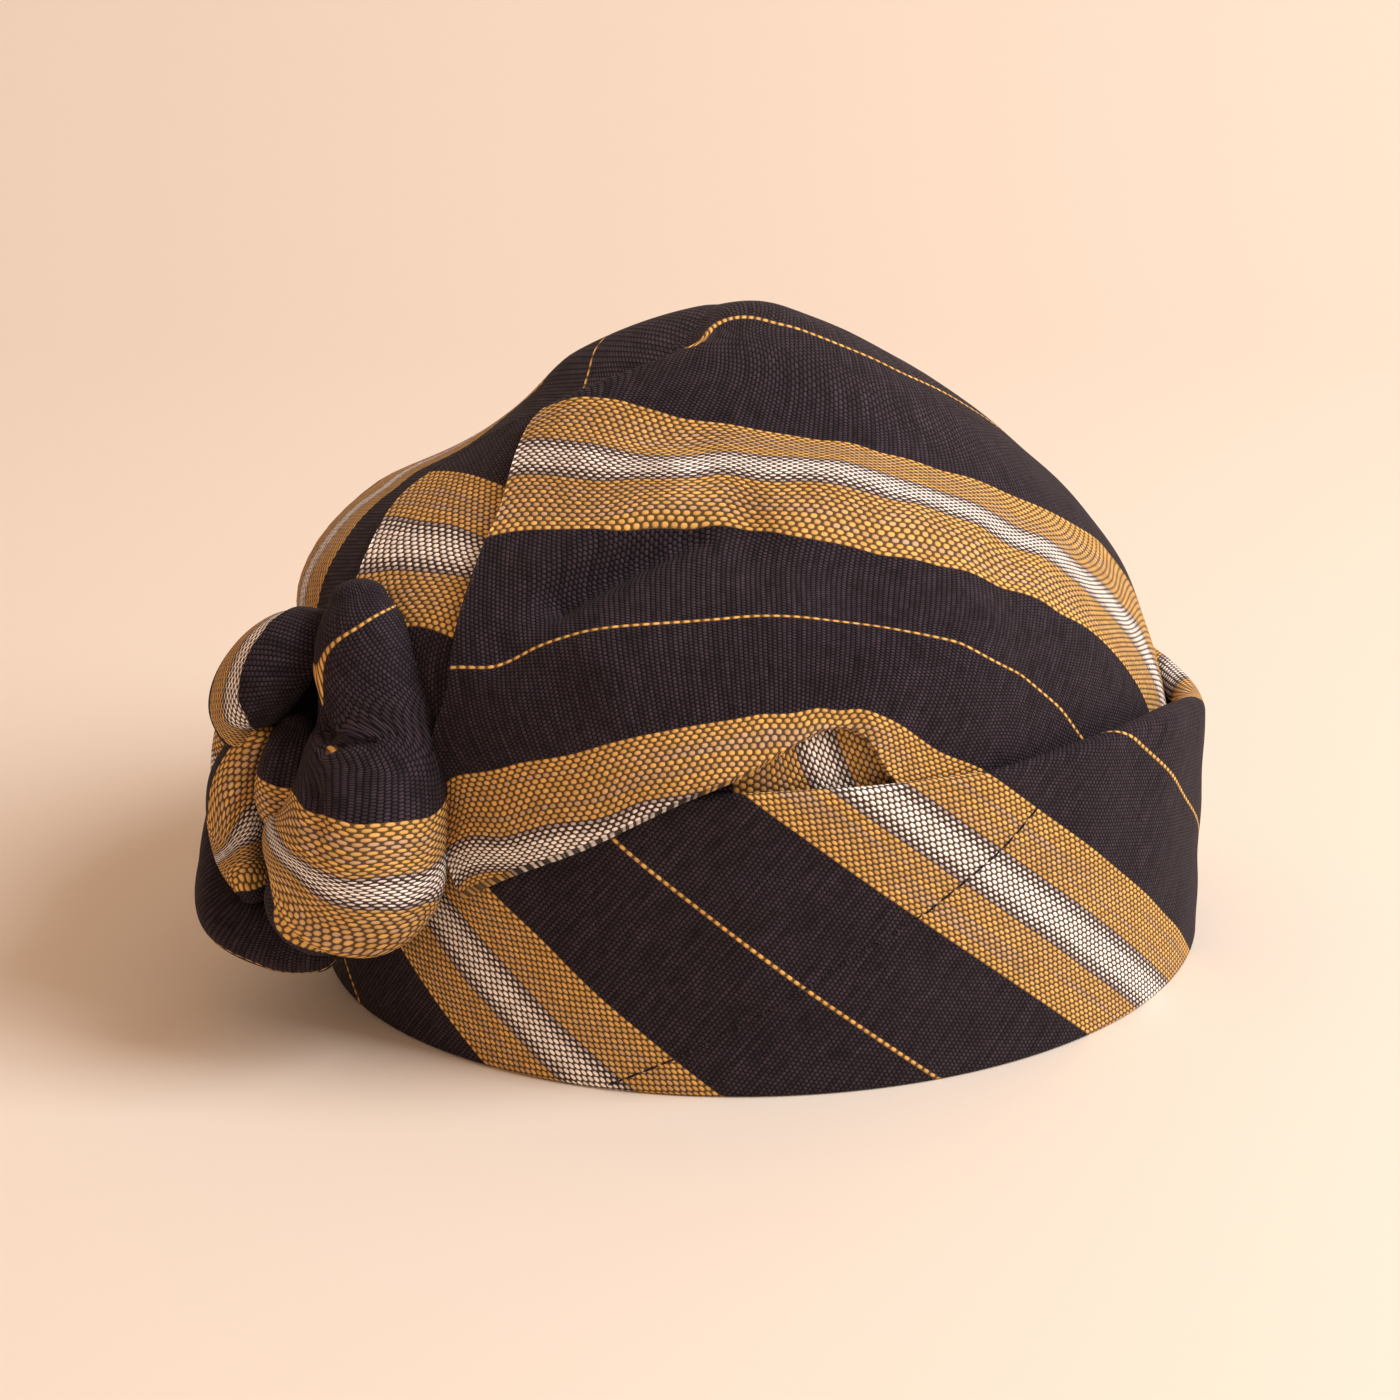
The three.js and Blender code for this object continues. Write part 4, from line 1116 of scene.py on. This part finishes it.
def cloth_material():
    material = bpy.data.materials.new("striped_cloth")
    material.use_nodes = True
    tree = material.node_tree
    tree.nodes.clear()
    n = Nodes(tree)
    uv = n.add("ShaderNodeUVMap", uv_map="cloth")
    split = n.add("ShaderNodeSeparateXYZ")
    tree.links.new(uv.outputs[0], split.inputs[0])
    u, v = split.outputs[0], split.outputs[1]

    yarn_place = n.math("DIVIDE", v, YARN)
    yarn = n.math("FLOOR", yarn_place)
    in_yarn = n.centred(yarn_place, yarn)
    odd = n.math("FLOORED_MODULO", yarn, 2.0)
    float_place = n.math("ADD", n.math("DIVIDE", u, FLOAT), n.math("MULTIPLY", odd, 0.5))
    one_float = n.math("FLOOR", float_place)
    in_float = n.centred(float_place, one_float)
    rib_place = n.math("DIVIDE", u, FLOAT / 2)
    column = n.math("FLOOR", rib_place)
    in_rib = n.centred(rib_place, column)
    stagger = n.math("MULTIPLY", n.math("FLOORED_MODULO", column, 2.0), 0.5)
    in_bead = n.math("SUBTRACT", n.math("FRACT", n.math("ADD", yarn_place, stagger)), 0.5)
    repeat = n.math("DIVIDE", n.math("FLOORED_MODULO", n.math("ADD", yarn, 0.5), REPEAT), REPEAT)

    def by_yarn(value_of):
        """A chart of a colour or a number for each row of the stripe chart."""
        rows = []
        for first, name, streaks in STRIPE_CHART:
            value = value_of(name, streaks)
            colour = value if isinstance(value, tuple) else (value,) * 3
            rows.append((first / REPEAT, (*colour, 1)))
        return n.chart(repeat, rows)

    dyed = by_yarn(lambda name, streaks: CLOTH_COLOURS[name])
    streaky = by_yarn(lambda name, streaks: streaks)
    gap_share = by_yarn(lambda name, streaks: GAPS[name][0])
    gap_width = by_yarn(lambda name, streaks: GAPS[name][1])
    is_black = by_yarn(lambda name, streaks: float(name == "black"))

    float_away = n.math("ADD", n.away(in_yarn, FLOAT_ACROSS), n.away(in_float, FLOAT_ALONG))
    bead_away = n.math("ADD", n.away(in_rib, BEAD_ACROSS), n.away(in_bead, BEAD_ALONG))
    away = n.blend(is_black, n.math("MULTIPLY", float_away, gap_width), bead_away)
    over = n.ramp_between(away, *EDGE)
    height = n.math("SQRT", n.math("SUBTRACT", 1.0, away, clamp=True))

    scatter = n.add("ShaderNodeTexWhiteNoise", noise_dimensions="2D")
    n.link(n.plane(one_float, yarn), scatter.inputs["Vector"])
    scattered = scatter.outputs["Value"]
    along = n.math("DIVIDE", u, STREAK["length"])
    drift = n.noise(along, n.math("MULTIPLY", yarn, STREAK["step"]), STREAK["detail"])
    streak = n.math("MULTIPLY", n.ramp_between(drift, STREAK["from"], STREAK["to"]), streaky)
    streak = n.math("MULTIPLY", streak, n.math("ADD", scattered, STREAK["least"]))
    yarn_colour = n.mix(n.math("MINIMUM", streak, 1.0), dyed, CLOTH_COLOURS["mauve"])

    shade = n.math("ADD", n.math("MULTIPLY", scattered, SHADE["scatter"]), SHADE["least"])
    # Painted highlight on each float's crown and painted shade towards its edges, from its height
    shade = n.math("ADD", shade, n.math("MULTIPLY", height, SHADE["height"]))
    along = n.math("DIVIDE", v, SLUB["length"])
    slub = n.noise(n.math("MULTIPLY", column, SLUB["step"]), along, SLUB["detail"])
    uneven = n.math("MULTIPLY_ADD", slub, SLUB["contrast"], SLUB["least"])
    shade = n.math("MULTIPLY", shade, n.blend(is_black, 1.0, uneven))
    # The yarn's colour times its random tone and the painted highlight and shade of its floats
    varied_and_shaded = n.add("ShaderNodeVectorMath", operation="SCALE")
    n.link(yarn_colour, varied_and_shaded.inputs[0])
    n.link(shade, varied_and_shaded.inputs["Scale"])
    # Gaps between floats: the dark weft with painted shade, mixed with a share of the yarn's colour
    gap = n.mix(gap_share, CLOTH_COLOURS["gap"], yarn_colour)
    # Painted shade between the black beads: the black yarn's own colour darkened
    black_gap = tuple(SHADE["black_gap"] * part for part in CLOTH_COLOURS["black"])
    colour = n.mix(over, n.mix(is_black, gap, black_gap), varied_and_shaded.outputs[0])

    bump = n.add("ShaderNodeBump")
    set_inputs(bump, BUMP)
    n.link(height, bump.inputs["Height"])
    shader = n.add("ShaderNodeBsdfPrincipled")
    set_inputs(shader, CLOTH_FINISH)
    n.link(colour, shader.inputs["Base Color"])
    n.link(bump.outputs[0], shader.inputs["Normal"])
    output = n.add("ShaderNodeOutputMaterial")
    n.link(shader.outputs[0], output.inputs[0])
    return material


def paper_material():
    material = bpy.data.materials.new("stage_paper")
    material.use_nodes = True
    set_inputs(material.node_tree.nodes["Principled BSDF"], PAPER_FINISH)
    return material


# Stage, lights and camera

# Stage in metres: the wall's place, its curve and height, how far the floor runs, half the width
STAGE = {"wall": 1.1, "curve": 0.6, "high": 3.0, "floor": 3.0, "wide": 4.0, "steps": 24}

# Square soft lights, in metres. Columns: name, place to the right, up and towards the camera,
# size, power, colour
LIGHTS = [
    ("key", (1.12, 1.12, 0.35), 0.9, 26.5, (0.97, 0.98, 1.0)),
    ("fill", (-1.0, 0.7, 1.0), 1.4, 0.5, (1.0, 0.85, 0.7)),
]
LIGHT_AIM = (0, 0, 0.06)
ROOM = {"Color": (1.0, 0.66, 0.46, 1), "Strength": 0.60}


def make_stage():
    """One pale sheet: the floor, a wide curve and the wall behind."""
    wall, curve, wide = STAGE["wall"], STAGE["curve"], STAGE["wide"]
    bend = np.linspace(0, math.pi / 2, STAGE["steps"])
    along = np.concatenate([[-STAGE["floor"]], wall - curve + curve * np.sin(bend), [wall]])
    up = np.concatenate([[0], curve * (1 - np.cos(bend)), [STAGE["high"]]])
    azimuth = math.radians(CAMERA["azimuth"])
    away = np.array([-math.sin(azimuth), math.cos(azimuth), 0])
    aside = np.array([away[1], -away[0], 0])
    points = [tuple(away * a + aside * s + (0, 0, z)) for a, z in zip(along, up) for s in (-wide, wide)]
    faces = [(2 * i, 2 * i + 1, 2 * i + 3, 2 * i + 2) for i in range(len(along) - 1)]
    mesh = bpy.data.meshes.new("stage_sweep")
    mesh.from_pydata(points, [], faces)
    mesh.shade_smooth()
    sweep = bpy.data.objects.new("stage_sweep", mesh)
    bpy.context.scene.collection.objects.link(sweep)
    mesh.materials.append(paper_material())


def view_axes():
    azimuth, elevation = math.radians(CAMERA["azimuth"]), math.radians(CAMERA["elevation"])
    flat = math.cos(elevation)
    back = Vector((math.sin(azimuth) * flat, -math.cos(azimuth) * flat, math.sin(elevation)))
    right = (-back).cross(Vector((0, 0, 1))).normalized()
    return right, right.cross(-back), back


def make_camera():
    right, up, back = view_axes()
    target = (right * CAMERA["right"] + up * CAMERA["up"]) * MM
    data = bpy.data.cameras.new("camera")
    data.sensor_width = SENSOR
    data.lens = FOCAL_PIXELS / PHOTO_PIXELS * SENSOR
    data.clip_start = CLIP_START
    camera = bpy.data.objects.new("camera", data)
    camera.location = target + back * CAMERA["distance"] * MM
    camera.rotation_mode = "QUATERNION"
    camera.rotation_quaternion = (-back).to_track_quat("-Z", "Y")
    bpy.context.scene.collection.objects.link(camera)
    bpy.context.scene.camera = camera


def add_light(name, place, size, power, colour):
    """A square soft light at a place given as right, up and towards the camera, aimed at the cap."""
    right, up, back = view_axes()
    flat_back = Vector((back.x, back.y, 0)).normalized()
    data = bpy.data.lights.new(name, "AREA")
    data.size = size
    data.energy = power
    data.color = colour
    light = bpy.data.objects.new(name, data)
    light.location = right * place[0] + Vector((0, 0, place[1])) + flat_back * place[2]
    aim = Vector(LIGHT_AIM) - light.location
    light.rotation_mode = "QUATERNION"
    light.rotation_quaternion = aim.to_track_quat("-Z", "Y")
    bpy.context.scene.collection.objects.link(light)


def make_lights():
    for light in LIGHTS:
        add_light(*light)
    world = bpy.data.worlds.new("room")
    world.use_nodes = True
    set_inputs(world.node_tree.nodes["Background"], ROOM)
    bpy.context.scene.world = world


# Assembly

make_camera()
make_stage()
make_lights()
bpy.context.scene.view_settings.view_transform = "Standard"

cloth = cloth_material()
crown, band, wrap, pleat = make_crown(), make_band(), make_wrap(), make_pleat()
stitches = make_stitches()
tucks = [make_tuck("tuck_right", -1), make_tuck("tuck_left", 1)]
lobes = [make_lobe(name) for name in KNOT_LOBES]
slots = {
    "crown_cloth": [crown], "band_cloth": [band, stitches], "wrap_cloth": [wrap], "pleat_cloth": [pleat],
    "tuck_cloth": tucks, "knot_cloth": lobes,
}
for slot, pieces in slots.items():
    for piece in pieces:
        piece.data.materials.append(cloth)
